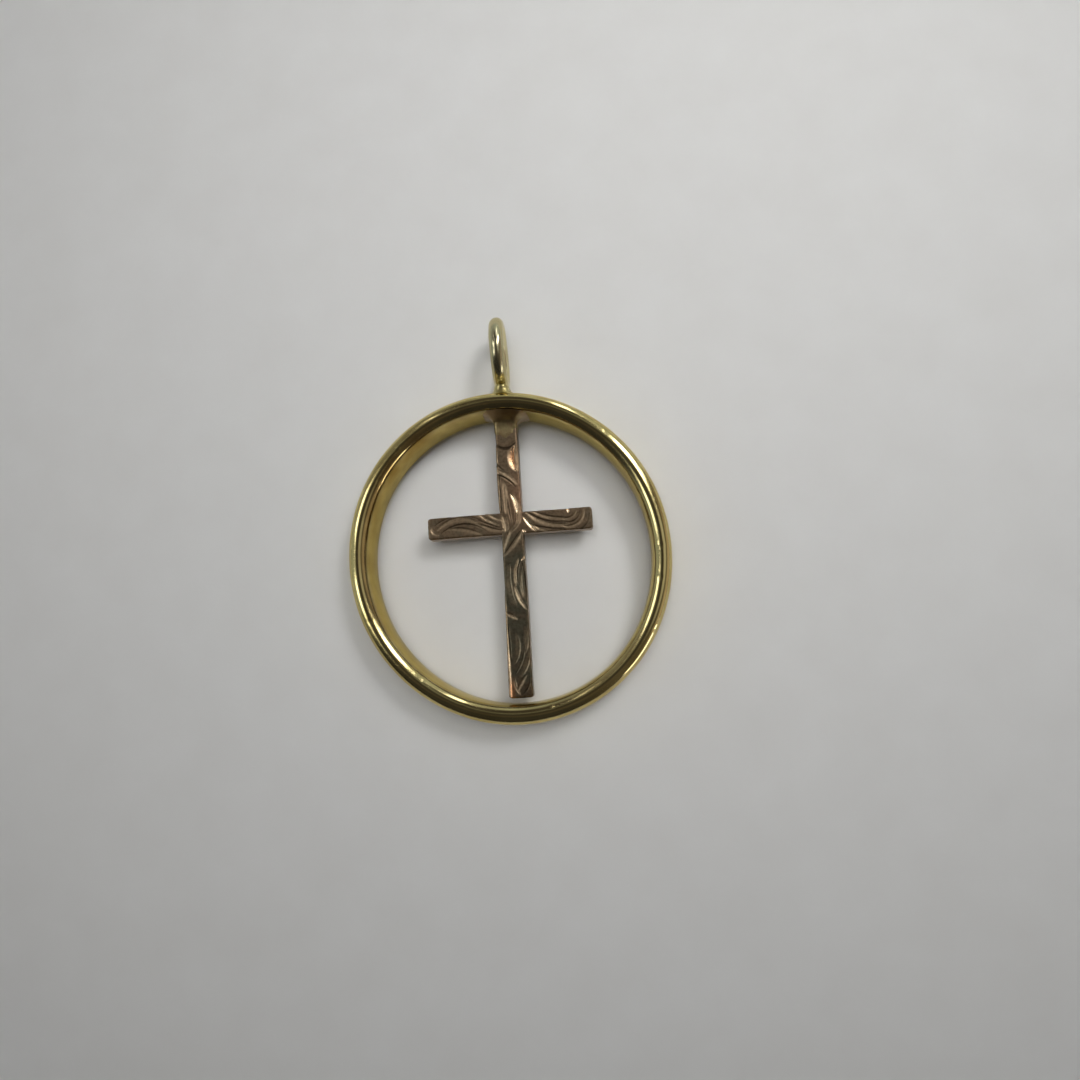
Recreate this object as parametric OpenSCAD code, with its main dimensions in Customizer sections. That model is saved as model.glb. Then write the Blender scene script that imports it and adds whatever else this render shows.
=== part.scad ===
// Cross pendant: a plain gold hoop stood on by a loop of wire, with an engraved cross hung inside it.
// Millimetres, +Z up. The pendant lies on its back on the plane z = 0, as it would by itself: on the
// bail's loop and on the hoop's far rim. The origin is on that plane, under the middle of its outline,
// and the bail points along +Y.

/* [Hoop] */
// Outside of the hoop across its longest way
hoop_long = 21.6; // [21.4:0.1:24]
// Outside of the hoop across its shortest way
hoop_short = 20.8; // [19.5:0.1:21.2]
// Turn of its longest way from the bail, anticlockwise in degrees
hoop_turn = 22; // [0:1:40]
// Thickness of the band, from inner wall to outer wall
band_thick = 1.32; // [1.3:0.02:1.5]
// Depth of the band, from rim to rim
band_deep = 3.6; // [3:0.1:4.4]
// Radius of its rounded rims
rim_r = 0.6; // [0.4:0.01:0.62]

/* [Cross] */
// Width of both bars across their engraved face
bar_wide = 1.43; // [1.2:0.01:1.6]
// Thickness of both bars
bar_thick = 1; // [0.8:0.05:1.2]
// Length of the left arm from the middle of the upright
arm_left = 5.54; // [5:0.02:6]
// Length of the right arm from the middle of the upright
arm_right = 5.26; // [5:0.02:6]
// Middle of the crossing, to the right of the hoop's centre
crossing_x = 0.23; // [0:0.01:0.3]
// Middle of the crossing, above the hoop's centre
crossing_y = 2.15; // [2:0.05:2.4]
// Turn of the cross from the bail, anticlockwise in degrees
cross_turn = 0.7; // [-1:0.1:1]
// Daylight between the foot of the cross and the hoop
foot_daylight = 0.33; // [0.2:0.01:0.8]

/* [Engraving] */
// Width of the strokes, as a share of the width measured for each
cut_share = 1; // [0.6:0.05:1.1]
// Depth of the strokes
cut_deep = 0.06; // [0.03:0.01:0.1]
// Width of the slope rubbed along the upright's left edge, at its foot
rub_wide = 0.34; // [0.1:0.02:0.4]

/* [Bail] */
// Thickness of the bail's round wire
wire = 0.95; // [0.8:0.01:1.1]
// Clear opening of the bail's eye
eye = 3.06; // [2.8:0.02:3.4]
// Height of solder between the hoop and the bail's wire
foot_high = 0.46; // [0.3:0.02:0.6]
// Lean of the bail to the left, in degrees
bail_lean = 1.8; // [0:0.1:6]

/* [Solder] */
// Radius of the hollow where solder runs out over the hoop
fillet = 0.5; // [0.3:0.02:0.55]
// Hairline left between neighbouring pieces
seam = 0.03; // [0.02:0.01:0.05]

/* [Hidden] */
$fn = 96;

// The hoop is an oval of four quarter arcs: two of end_arc about points oval_e above and below its
// centre, and two of side_arc about points oval_e to either side. All four radii are to the band's
// middle, and neighbouring arcs share a tangent on the 45 degree lines.
oval_e = (hoop_long - hoop_short) / 2 / (2 - sqrt(2));
end_arc = (hoop_long - band_thick) / 2 - oval_e;
side_arc = end_arc + oval_e * sqrt(2);
// Reach of the oval's middle line along Y, once it is turned
reach_y = end_arc + oval_e * cos(hoop_turn);

// The band's section is an oval too: a small arc round each rim and a flat arc up each wall
rim_off = band_deep / 2 - rim_r;
wall_r = (pow(rim_off, 2) + pow(band_thick / 2, 2) - pow(rim_r, 2)) / (band_thick - 2 * rim_r);
wall_off = wall_r - band_thick / 2;

// Bail, in the hoop's plane: the hoop's outer wall under it, the loop's middle and its solder stem
wall_outside = reach_y + band_thick / 2;
loop_r = (eye + wire) / 2;
loop_y = wall_outside + foot_high + wire / 2 + loop_r;
stem_r = 0.48 * wire;
stem_sunk = 0.3;

// Cross, along its own upright from the middle of the crossing: its foot, the hoop's inner wall
// that it is soldered to, and the top, which runs into that wall and is cut off by it
wall_inside = reach_y - band_thick / 2;
upright_foot = -(wall_inside + crossing_y - foot_daylight);
head_seat = wall_inside - crossing_y;
upright_top = head_seat + band_thick / 2;
// Length of the slope rubbed along the upright's left edge, up from its foot, and its pitch
rub_long = 6;
rub_pitch = 23;
// Solder head round the upright's top: how far it stands proud of the bar, and its length
head_proud = 0.05;
head_long = 1.25;
head_half = bar_wide / 2 + head_proud;
head_thick_half = bar_thick / 2 + head_proud;

// Rest: the tilt about X at which the loop's round outside and the far rim's arc touch one plane
rest_tilt = rest_angle(loop_y + reach_y, rim_off, loop_r + wire / 2 - rim_r);
rest_z = loop_r + wire / 2 - loop_y * sin(rest_tilt);
rest_y = (wall_outside - loop_y * cos(rest_tilt) - loop_r - wire / 2) / 2;

// Angle a with span * sin(a) + drop * cos(a) = rise
function rest_angle(span, drop, rise) = asin(rise / norm([span, drop])) - atan2(drop, span);

// The graver's strokes on the arms. Each runs along the arc through three places, given from the middle
// of the crossing. Columns: start, middle, end, half of the stroke's width
ARM_CUTS = [
    [[-4.95, -0.16], [-3.65, 0.48], [-1.95, -0.06], 0.20],
    [[-2.45, 0.20], [-1.45, -0.28], [-0.60, -0.48], 0.17],
    [[-4.25, -0.14], [-3.25, -0.20], [-1.95, -0.70], 0.17],
    [[-5.34, 0.14], [-5.24, -0.25], [-4.78, -0.44], 0.10],
    [[-2.20, 0.78], [-1.62, 0.34], [-0.80, -0.10], 0.14],
    [[-1.60, 0.76], [-1.20, 0.48], [-0.62, 0.20], 0.11],
    [[0.76, 0.42], [1.14, -0.18], [1.60, -0.66], 0.14],
    [[0.92, 0.74], [2.10, -0.12], [3.80, -0.30], 0.19],
    [[3.20, -0.34], [4.62, 0.00], [4.74, 0.60], 0.15],
    [[1.34, 0.74], [2.35, 0.24], [3.65, 0.10], 0.16],
    [[3.20, 0.10], [4.02, 0.18], [4.26, 0.54], 0.12],
    [[1.35, -0.20], [1.72, -0.46], [2.30, -0.68], 0.12]
];

// The graver's strokes on the upright, from its top to its foot, in the same columns
UPRIGHT_CUTS = [
    [[0.46, 5.16], [0.20, 4.30], [0.58, 3.36], 0.26],
    [[-0.80, 3.62], [-0.10, 3.14], [0.56, 2.46], 0.17],
    [[-0.34, 2.82], [-0.24, 1.80], [-0.32, 0.60], 0.19],
    [[0.02, 1.98], [0.28, 1.42], [0.34, 0.50], 0.17],
    [[0.50, 1.50], [0.52, 0.40], [-0.12, -0.60], 0.18],
    [[0.16, -0.10], [-0.34, -0.95], [-0.68, -1.95], 0.17],
    [[0.76, -0.40], [0.22, -1.22], [-0.68, -2.16], 0.19],
    [[0.30, -2.30], [0.02, -3.20], [0.02, -4.10], 0.13],
    [[-0.06, -4.10], [0.16, -4.90], [0.64, -5.68], 0.15],
    [[-0.28, -2.60], [-0.44, -4.00], [0.02, -5.50], 0.18],
    [[-0.92, -5.70], [-0.52, -5.92], [-0.02, -6.28], 0.14],
    [[0.42, -6.90], [0.52, -7.60], [0.36, -8.30], 0.15],
    [[0.56, -8.00], [0.42, -8.90], [-0.06, -9.80], 0.14],
    [[-0.12, -7.20], [-0.06, -8.20], [-0.36, -9.10], 0.17],
    [[0.40, -9.80], [0.06, -10.30], [-0.28, -10.90], 0.12]
];

// Centre of the circle through the points a, b and c
function arc_centre(a, b, c) =
    let (det = 2 * cross(b - a, c - a), ab = b * b - a * a, ac = c * c - a * a)
    [ab * (c.y - a.y) - ac * (b.y - a.y), ac * (b.x - a.x) - ab * (c.x - a.x)] / det;

// Bearing of the point p from the centre m
function bearing(m, p) = atan2(p.y - m.y, p.x - m.x);

// Section of the band, grown by a margin, with X through its thickness and Y along its depth
module band_section(grow = 0) {
    join = rim_off * (1 + (rim_r + grow) / (wall_r - rim_r));
    intersection() {
        translate([-wall_off, 0]) circle(r = wall_r + grow);
        translate([wall_off, 0]) circle(r = wall_r + grow);
        square([2 * band_thick, 2 * join], center = true);
    }
    for (side = [-1, 1]) translate([0, side * rim_off]) circle(r = rim_r + grow);
}

// A quarter of the hoop, swept about the Z axis from the angle `from`
module band_quarter(radius, from, grow) {
    rotate_extrude(angle = 90, start = from) translate([radius, 0]) band_section(grow);
}

// The whole oval band about its own centre, grown by a margin
module band(grow = 0) {
    rotate([0, 0, hoop_turn]) for (side = [0, 180]) {
        translate([0, side == 0 ? oval_e : -oval_e, 0]) band_quarter(end_arc, 45 + side, grow);
        translate([side == 0 ? oval_e : -oval_e, 0, 0]) band_quarter(side_arc, 135 + side, grow);
    }
}

// The graver's V strokes into the face z = bar_thick / 2, one for each row of a table
module cuts(rows) {
    for (row = rows) {
        middle = arc_centre(row[0], row[1], row[2]);
        radius = norm(row[0] - middle);
        leftward = cross(row[1] - row[0], row[2] - row[0]) > 0;
        from = bearing(middle, leftward ? row[0] : row[2]);
        to = bearing(middle, leftward ? row[2] : row[0]);
        half = cut_share * row[3];
        translate([middle.x, middle.y, bar_thick / 2])
            rotate_extrude(angle = (to - from + 360) % 360, start = from) translate([radius, 0])
                polygon([[0, -cut_deep], [2 * half, cut_deep], [-2 * half, cut_deep]]);
    }
}

// Both bars of the cross, with their face up
module bars() {
    translate([-arm_left, -bar_wide / 2, -bar_thick / 2]) cube([arm_left + arm_right, bar_wide, bar_thick]);
    translate([-bar_wide / 2, upright_foot, -bar_thick / 2])
        cube([bar_wide, upright_top - upright_foot, bar_thick]);
}

// Wedge that rubs a slope along the upright's left edge, widening to its foot
module rub() {
    lead = atan2(rub_wide, rub_long);
    translate([-bar_wide / 2, upright_foot + rub_long, bar_thick / 2]) rotate([0, 0, lead])
        translate([0, -rub_long, 0]) rotate([0, -rub_pitch, 0]) translate([-bar_wide, -rub_long, 0])
            cube([2 * bar_wide, 2 * rub_long, bar_thick]);
}

// Outline of the solder head from one side: a stem that runs out in two hollows at the hoop's wall
module head_outline(half) {
    difference() {
        translate([-half - fillet, head_seat - head_long]) square([2 * (half + fillet), head_long + fillet]);
        for (side = [-1, 1]) {
            translate([side * (half + fillet), head_seat - fillet]) circle(r = fillet);
            translate([side * (half + fillet) - fillet, head_seat - head_long - fillet])
                square([2 * fillet, head_long]);
        }
    }
}

// Solder that holds the upright's top in the hoop
module solder_head() {
    depth = 2 * (head_thick_half + fillet);
    intersection() {
        translate([0, 0, -depth / 2]) linear_extrude(depth) head_outline(head_half);
        translate([-head_half - fillet, 0, 0]) rotate([90, 0, 90])
            linear_extrude(2 * (head_half + fillet)) mirror([1, -1]) head_outline(head_thick_half);
    }
}

// Solder under the bail: a short round stem that runs out over the hoop's outer wall
module solder_foot() {
    translate([0, wall_outside, 0]) rotate([-90, 0, 0]) rotate_extrude() difference() {
        translate([0, -stem_sunk]) square([stem_r + fillet, stem_sunk + foot_high + wire / 2]);
        translate([stem_r + fillet, fillet]) circle(r = fillet);
        translate([stem_r, fillet]) square([2 * fillet, foot_high + wire]);
    }
}

// Moves a piece from the hoop's own centre and plane to where the pendant lies
module at_rest() {
    translate([0, rest_y, rest_z]) rotate([rest_tilt, 0, 0]) children();
}

module hoop() {
    color("goldenrod") at_rest() band();
}

module cross() {
    color("rosybrown") at_rest() difference() {
        translate([crossing_x, crossing_y, 0]) rotate([0, 0, cross_turn]) union() {
            difference() {
                bars();
                cuts(ARM_CUTS);
                cuts(UPRIGHT_CUTS);
                rub();
            }
            solder_head();
        }
        band(seam);
    }
}

module bail() {
    color("palegoldenrod") at_rest() difference() {
        translate([0, wall_outside, 0]) rotate([0, 0, bail_lean]) translate([0, -wall_outside, 0]) union() {
            translate([0, loop_y, 0]) rotate([0, 90, 0])
                rotate_extrude() translate([loop_r, 0]) circle(d = wire);
            solder_foot();
        }
        band(seam);
    }
}

hoop();
cross();
bail();
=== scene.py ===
"""Dresses a gold cross pendant and sets up its portrait.

The pendant is a plain hoop of rounded band, an engraved cross that solder holds inside the hoop, and a
wire bail soldered on top. Shapes are worked out in millimetres in the hoop's own frame: X to the right,
Y towards the bail and Z up out of the hoop, from the hoop's centre. The rest pose then lays each
finished mesh on the floor, in metres.
"""

import logging
import math
from dataclasses import dataclass
from enum import Enum
from typing import Any, Iterable

import bpy
import numpy as np
from mathutils import Matrix, Vector, noise

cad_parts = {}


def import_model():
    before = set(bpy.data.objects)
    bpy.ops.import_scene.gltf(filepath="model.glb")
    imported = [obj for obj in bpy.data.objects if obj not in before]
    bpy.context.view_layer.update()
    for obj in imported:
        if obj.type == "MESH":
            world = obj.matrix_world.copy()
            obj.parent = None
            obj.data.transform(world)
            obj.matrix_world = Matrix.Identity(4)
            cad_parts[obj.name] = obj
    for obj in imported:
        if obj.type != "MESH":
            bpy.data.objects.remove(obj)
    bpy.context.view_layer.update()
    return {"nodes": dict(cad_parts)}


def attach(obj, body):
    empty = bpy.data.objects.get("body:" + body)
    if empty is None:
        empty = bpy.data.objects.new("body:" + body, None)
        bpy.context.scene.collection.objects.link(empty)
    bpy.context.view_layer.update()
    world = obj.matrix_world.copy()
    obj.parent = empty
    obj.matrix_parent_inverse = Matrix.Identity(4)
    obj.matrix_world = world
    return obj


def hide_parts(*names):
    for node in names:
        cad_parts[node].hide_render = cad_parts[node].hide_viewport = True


LOG = logging.getLogger("pendant")
MM = 0.001
FULL_TURN = 2 * math.pi
TINY = 1e-6

# Shifts of place, in millimetres, that give each use of the same noise its own hills.
BACK_SHIFT = 31.7
SIDE_SHIFT = 9.3


class Part(Enum):
    """The solids that the visible pieces stand for, with the material slot of each."""

    HOOP = ("hoop", "hoop_gold")
    CROSS = ("cross", "cross_gold")
    BAIL = ("bail", "bail_gold")

    @property
    def node(self) -> str:
        """Name of the solid."""
        return self.value[0]

    @property
    def slot(self) -> str:
        """Name of the solid's material slot."""
        return self.value[1]


class Steep(Enum):
    """Which wall of an engraved cut is the steep one, as the place of its floor across the cut."""

    INNER = -0.6
    NEITHER = 0.0
    OUTER = 0.6


def linear(hex_colour: str) -> tuple[float, float, float, float]:
    """Turns an sRGB hex colour into a linear one, by the numbers of the sRGB standard.

    Args:
        hex_colour: Six hex digits after a hash sign.

    Returns:
        Linear red, green, blue and an alpha of one.
    """
    channels = [int(hex_colour[i : i + 2], 16) / 255 for i in (1, 3, 5)]
    red, green, blue = (c / 12.92 if c <= 0.04045 else ((c + 0.055) / 1.055) ** 2.4 for c in channels)
    return red, green, blue, 1.0


def add_node(
    tree: bpy.types.NodeTree, kind: str, inputs: dict | None = None, **settings: Any
) -> bpy.types.Node:
    """Adds one node with its settings and links.

    Args:
        tree: The tree that takes the node.
        kind: The node's type.
        inputs: For an input's name or number, its value, or the node or socket that feeds it.
        **settings: The node's own settings by name.

    Returns:
        The new node.
    """
    node = tree.nodes.new(kind)
    for name, value in settings.items():
        setattr(node, name, value)
    for key, value in (inputs or {}).items():
        live = [s for s in node.inputs if s.enabled]
        socket = live[key] if isinstance(key, int) else next(s for s in live if s.name == key)
        if isinstance(value, bpy.types.Node):
            value = live_output(value)
        if isinstance(value, bpy.types.NodeSocket):
            tree.links.new(value, socket)
        else:
            socket.default_value = value
    return node


def live_output(node: bpy.types.Node) -> bpy.types.NodeSocket:
    """Gives the first of a node's outputs that its settings leave switched on."""
    return next(s for s in node.outputs if s.enabled)


def layered(
    tree: bpy.types.NodeTree, ground: str, layers: Iterable[tuple[Any, Any]]
) -> bpy.types.Node:
    """Lays colours over one another.

    Args:
        tree: The tree that takes the nodes.
        ground: Hex colour of the lowest layer.
        layers: For each layer above it, the node or socket that gives how much it covers, and its own
            colour as a hex colour or a node.

    Returns:
        The node that gives the finished colour.
    """
    shown = linear(ground)
    for cover, colour in layers:
        upper = linear(colour) if isinstance(colour, str) else colour
        shown = add_node(
            tree, "ShaderNodeMix", {"Factor": cover, "A": shown, "B": upper}, data_type="RGBA"
        )
    return shown


def put(name: str, data: bpy.types.ID) -> bpy.types.Object:
    """Puts a new object in the scene.

    Args:
        name: Name of the object.
        data: Its mesh, lamp or camera.

    Returns:
        The object, at the origin.
    """
    made = bpy.data.objects.new(name, data)
    bpy.context.scene.collection.objects.link(made)
    return made


@dataclass(frozen=True)
class RestPose:
    """Where the pendant lies: turned up about X by its tilt, with the hoop's centre at y and z."""

    tilt: float
    y: float
    z: float

    def matrix(self) -> Matrix:
        """Takes a point from the hoop's own millimetres to metres on the floor."""
        place = Matrix.Translation((0, self.y, self.z)) @ Matrix.Rotation(self.tilt, 4, "X")
        return Matrix.Scale(MM, 4) @ place


class SizedTree:
    """A geometry node tree with named sizes that makes one mesh."""

    def __init__(self, name: str, sizes: dict[str, float | int], finish: bpy.types.Material) -> None:
        """Makes the empty tree and its inputs.

        Args:
            name: Name of the tree.
            sizes: Every size that the tree takes, by name.
            finish: Material of the finished mesh.
        """
        self.tree = bpy.data.node_groups.new(name, "GeometryNodeTree")
        self.values: dict[str, Any] = {**sizes, "Finish": finish}
        for label, value in self.values.items():
            kind = {float: "NodeSocketFloat", int: "NodeSocketInt"}.get(type(value), "NodeSocketMaterial")
            self.tree.interface.new_socket(label, in_out="INPUT", socket_type=kind)
        self.tree.interface.new_socket("Geometry", in_out="OUTPUT", socket_type="NodeSocketGeometry")
        self.sizes = self.tree.nodes.new("NodeGroupInput").outputs

    def add(self, kind: str, inputs: dict | None = None, **settings: Any) -> bpy.types.Node:
        """Adds a node to this tree, as add_node does."""
        return add_node(self.tree, kind, inputs, **settings)

    def push(self, surface: bpy.types.Node, distance: bpy.types.Node) -> bpy.types.Node:
        """Moves each place of a surface outwards by its own distance.

        Args:
            surface: The node that gives the surface.
            distance: The node that gives the distance, in millimetres.

        Returns:
            The node that gives the moved surface.
        """
        facing = self.add("GeometryNodeInputNormal")
        move = self.add("ShaderNodeVectorMath", {0: facing, "Scale": distance}, operation="SCALE")
        return self.add("GeometryNodeSetPosition", {"Geometry": surface, "Offset": move})

    def waver(self, surface: bpy.types.Node) -> bpy.types.Node:
        """Makes a surface slowly uneven, by the sizes Unevenness and Unevenness pitch.

        Args:
            surface: The node that gives the even surface.

        Returns:
            The node that gives the uneven one.
        """
        slow = self.add("ShaderNodeMath", {0: 1.0, 1: self.sizes["Unevenness pitch"]}, operation="DIVIDE")
        cloud = self.add("ShaderNodeTexNoise", {"Scale": slow, "Detail": 1.0})
        swing = self.add("ShaderNodeMath", {0: cloud.outputs[0], 1: 0.5}, operation="SUBTRACT")
        height = self.add("ShaderNodeMath", {0: swing, 1: self.sizes["Unevenness"]}, operation="MULTIPLY")
        return self.push(surface, height)

    def grow(self, surface: bpy.types.Node) -> bpy.types.Mesh:
        """Ends the tree at a surface and turns what it makes into a plain mesh.

        Args:
            surface: The node that gives the finished surface.

        Returns:
            The mesh, with its material and no modifier.
        """
        smooth = self.add("GeometryNodeSetShadeSmooth", {"Geometry": surface})
        real = self.add("GeometryNodeRealizeInstances", {"Geometry": smooth})
        dressed = self.add("GeometryNodeSetMaterial", {"Geometry": real, "Material": self.sizes["Finish"]})
        self.add("NodeGroupOutput", {"Geometry": dressed})
        seed_mesh = bpy.data.meshes.new(self.tree.name)
        worker = put(self.tree.name, seed_mesh)
        modifier = worker.modifiers.new(self.tree.name, "NODES")
        modifier.node_group = self.tree
        for item in self.tree.interface.items_tree:
            if item.in_out == "INPUT":
                modifier[item.identifier] = self.values[item.name]
        bpy.context.view_layer.update()
        grown = worker.evaluated_get(bpy.context.evaluated_depsgraph_get())
        mesh = bpy.data.meshes.new_from_object(grown)
        worker.modifiers.remove(modifier)
        bpy.data.objects.remove(worker)
        bpy.data.meshes.remove(seed_mesh)
        return mesh


def four_arc_oval() -> bpy.types.NodeTree:
    """Makes the node group for a point of an oval of four arcs, by the angle of its outward normal.

    Two arcs lie about centres above and below the middle, and two longer ones about centres to either
    side. Neighbouring arcs share a tangent, so the oval is smooth. A section that stands off by some
    distance adds it to both radii.

    Returns:
        The group, with the inputs Angle, End offset, End radius, Side offset and Side radius.
    """
    group = bpy.data.node_groups.new("Four arc oval", "GeometryNodeTree")
    given = ("Angle", "End offset", "End radius", "Side offset", "Side radius")
    for label in given:
        group.interface.new_socket(label, in_out="INPUT", socket_type="NodeSocketFloat")
    group.interface.new_socket("Point", in_out="OUTPUT", socket_type="NodeSocketVector")
    sockets = group.nodes.new("NodeGroupInput").outputs
    known: dict[Any, Any] = {label: sockets[label] for label in given}
    # The name of each sum, its operation and its terms: numbers, inputs or the names of earlier sums.
    sums = (
        ("cosine", "COSINE", "Angle"),
        ("sine", "SINE", "Angle"),
        ("across", "ABSOLUTE", "cosine"),
        ("upright", "ABSOLUTE", "sine"),
        ("reach x", "MULTIPLY", "across", "End offset"),
        ("reach y", "MULTIPLY", "upright", "Side offset"),
        ("on end", "GREATER_THAN", "reach y", "reach x"),
        ("on side", "SUBTRACT", 1.0, "on end"),
        ("end part", "MULTIPLY", "on end", "End radius"),
        ("radius", "MULTIPLY_ADD", "on side", "Side radius", "end part"),
        ("hand", "SIGN", "cosine"),
        ("side hand", "MULTIPLY", "hand", "on side"),
        ("back x", "MULTIPLY", "side hand", "Side offset"),
        ("height", "SIGN", "sine"),
        ("end height", "MULTIPLY", "height", "on end"),
        ("out y", "MULTIPLY", "end height", "End offset"),
        ("out x", "MULTIPLY", "cosine", "radius"),
        ("x", "SUBTRACT", "out x", "back x"),
        ("y", "MULTIPLY_ADD", "sine", "radius", "out y"),
    )
    for name, operation, *terms in sums:
        inputs = {place: known.get(term, term) for place, term in enumerate(terms)}
        known[name] = add_node(group, "ShaderNodeMath", inputs, operation=operation)
    point = add_node(group, "ShaderNodeCombineXYZ", {"X": known["x"], "Y": known["y"]})
    add_node(group, "NodeGroupOutput", {"Point": point})
    return group


def place(name: str, mesh: bpy.types.Mesh, pose: Matrix, part: Part) -> bpy.types.Object:
    """Lays a finished mesh at rest and hands it to the frame.

    Args:
        name: Name of the piece.
        mesh: Its mesh, in the hoop's own millimetres.
        pose: From there to metres on the floor.
        part: The solid that the piece stands for.

    Returns:
        The piece.
    """
    mesh.transform(pose)
    mesh.name = name
    piece = put(name, mesh)
    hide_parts(part.node)
    part.slot
    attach(piece, "root")
    return piece


def shell(name: str, points: np.ndarray, quads: np.ndarray, fans: list[tuple[int, ...]]) -> bpy.types.Mesh:
    """Makes a smooth mesh from its points and faces.

    Args:
        name: Name of the mesh.
        points: One row for each vertex.
        quads: One row of four vertex numbers for each face.
        fans: Further faces.

    Returns:
        The mesh.
    """
    mesh = bpy.data.meshes.new(name)
    mesh.from_pydata(points.tolist(), [], quads.tolist() + fans)
    mesh.shade_smooth()
    return mesh


def tube(
    name: str, points: np.ndarray, around: int, ends: list[list[float]], flip: bool
) -> bpy.types.Mesh:
    """Joins rings of points into a closed tube with a fan at each end.

    Args:
        name: Name of the mesh.
        points: The rings' points, one ring after another.
        around: How many points a ring has.
        ends: Middles of the fans at the first ring and the last.
        flip: True where the rings run so that the faces have to be turned over.

    Returns:
        The mesh.
    """
    rings = len(points) // around
    k, a = np.meshgrid(np.arange(rings - 1), np.arange(around), indexing="ij")
    low, high = k * around, (k + 1) * around
    after = (a + 1) % around
    quads = np.stack([low + a, low + after, high + after, high + a], axis=-1).reshape(-1, 4)
    first, last = len(points), len(points) + 1
    base = (rings - 1) * around
    fans = [(first, (n + 1) % around, n) for n in range(around)]
    fans += [(last, base + n, base + (n + 1) % around) for n in range(around)]
    if flip:
        quads, fans = quads[:, ::-1], [f[::-1] for f in fans]
    return shell(name, np.concatenate([points, ends]), quads, fans)


def store(mesh: bpy.types.Mesh, marks: dict[str, np.ndarray]) -> None:
    """Stores marks on the points of a mesh, for its finish to read.

    Args:
        mesh: The mesh.
        marks: For the name of each mark, its strength at each point.
    """
    for name, strength in marks.items():
        mesh.attributes.new(name, "FLOAT", "POINT").data.foreach_set("value", strength.astype(np.float32))


def ramp(value: np.ndarray, start: float | np.ndarray, end: float | np.ndarray) -> np.ndarray:
    """Rises evenly from zero where a value is at its start to one where it is at its end.

    Args:
        value: The value at each place.
        start: Where the rise starts.
        end: Where it ends, which may be below its start.

    Returns:
        The share of the rise at each place.
    """
    return np.clip((value - start) / (end - start), 0, 1)


def squared_ring(angle: np.ndarray, power: float) -> tuple[np.ndarray, np.ndarray]:
    """Gives a ring between a circle, at a power of two, and a square, at a high one.

    Args:
        angle: Where each point stands round the ring.
        power: How square it is.

    Returns:
        The points' two places, each from minus one to one.
    """
    ways = np.cos(angle), np.sin(angle)
    across, along = (np.sign(way) * np.abs(way) ** (2 / power) for way in ways)
    return across, along


def unevenness(points: np.ndarray, pitch: float, octaves: int = 3) -> np.ndarray:
    """Gives a smooth random height for each point, about zero and mostly within one.

    Args:
        points: One row for each point, in millimetres.
        pitch: Distance between neighbouring bumps, in millimetres.
        octaves: How many finer layers the bumps have.

    Returns:
        One height for each point.
    """
    return np.array([noise.fractal(Vector(p), 1.0, 2.0, octaves) for p in points / pitch])


class Coat:
    """A material in the making, with one shader on it and places in millimetres."""

    def __init__(self, name: str, metallic: float, roughness: float = 0.5) -> None:
        """Makes the material.

        Args:
            name: Common name of the finish.
            metallic: One for a metal and zero for anything else. A metal keeps the default IOR.
            roughness: Roughness where no pattern feeds it.
        """
        self.material = bpy.data.materials.new(name)
        self.material.use_nodes = True
        self.tree = self.material.node_tree
        self.shader = next(n for n in self.tree.nodes if n.type == "BSDF_PRINCIPLED")
        self.shader.inputs["Metallic"].default_value = metallic
        self.shader.inputs["Roughness"].default_value = roughness
        where = self.add("ShaderNodeTexCoord").outputs["Object"]
        self.mm = self.add("ShaderNodeMapping", {"Vector": where, "Scale": (1 / MM, 1 / MM, 1 / MM)})

    def add(self, kind: str, inputs: dict | None = None, **settings: Any) -> bpy.types.Node:
        """Adds a node to this material, as add_node does."""
        return add_node(self.tree, kind, inputs, **settings)

    def blotches(
        self,
        pitch: float,
        detail: float,
        bounds: tuple[float, float],
        span: tuple[float, float] = (0.0, 1.0),
    ) -> bpy.types.Node:
        """Draws soft random blotches.

        Args:
            pitch: Distance between neighbouring blotches, in millimetres.
            detail: How many finer layers they have.
            bounds: Heights of the noise at which a blotch starts and is full.
            span: What the node gives outside the blotches and inside them.

        Returns:
            The node that gives them.
        """
        cloud = self.add("ShaderNodeTexNoise", {"Vector": self.mm, "Scale": 1 / pitch, "Detail": detail})
        limits = {
            "Value": cloud.outputs[0], "From Min": bounds[0], "From Max": bounds[1],
            "To Min": span[0], "To Max": span[1],
        }
        return self.add("ShaderNodeMapRange", limits)

    def hairlines(self, turn: tuple[float, float, float], pitch: float) -> bpy.types.Node:
        """Draws long thin scratches that run one way.

        Args:
            turn: Turn of the scratches about each axis, in degrees.
            pitch: Distance between neighbouring scratches, in millimetres.

        Returns:
            A node that is one in a scratch and zero beside it.
        """
        # A scratch is 14 times as long as the distance to the next one. Its half width is in heights of
        # the noise, whose slope makes it about a fortieth of that distance.
        stretch, half_width = 14.0, 0.012
        rotation = tuple(math.radians(a) for a in turn)
        scale = (1 / (pitch * stretch), 1 / pitch, 1 / pitch)
        along = self.add("ShaderNodeMapping", {"Vector": self.mm, "Rotation": rotation, "Scale": scale})
        cloud = self.add("ShaderNodeTexNoise", {"Vector": along, "Scale": 1.0, "Detail": 1.0})
        middle = self.add("ShaderNodeMath", {0: cloud.outputs[0], 1: 0.5}, operation="SUBTRACT")
        off = self.add("ShaderNodeMath", {0: middle}, operation="ABSOLUTE")
        limits = {"Value": off, "From Min": half_width, "From Max": 0.0}
        return self.add("ShaderNodeMapRange", limits, interpolation_type="SMOOTHSTEP")

    def finish(self, **sources: bpy.types.Node) -> bpy.types.Material:
        """Feeds the shader and ends the material.

        Args:
            **sources: For the name of an input of the shader, with underscores for spaces, what feeds it.

        Returns:
            The finished material.
        """
        for name, source in sources.items():
            self.tree.links.new(live_output(source), self.shader.inputs[name.replace("_", " ")])
        return self.material


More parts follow.
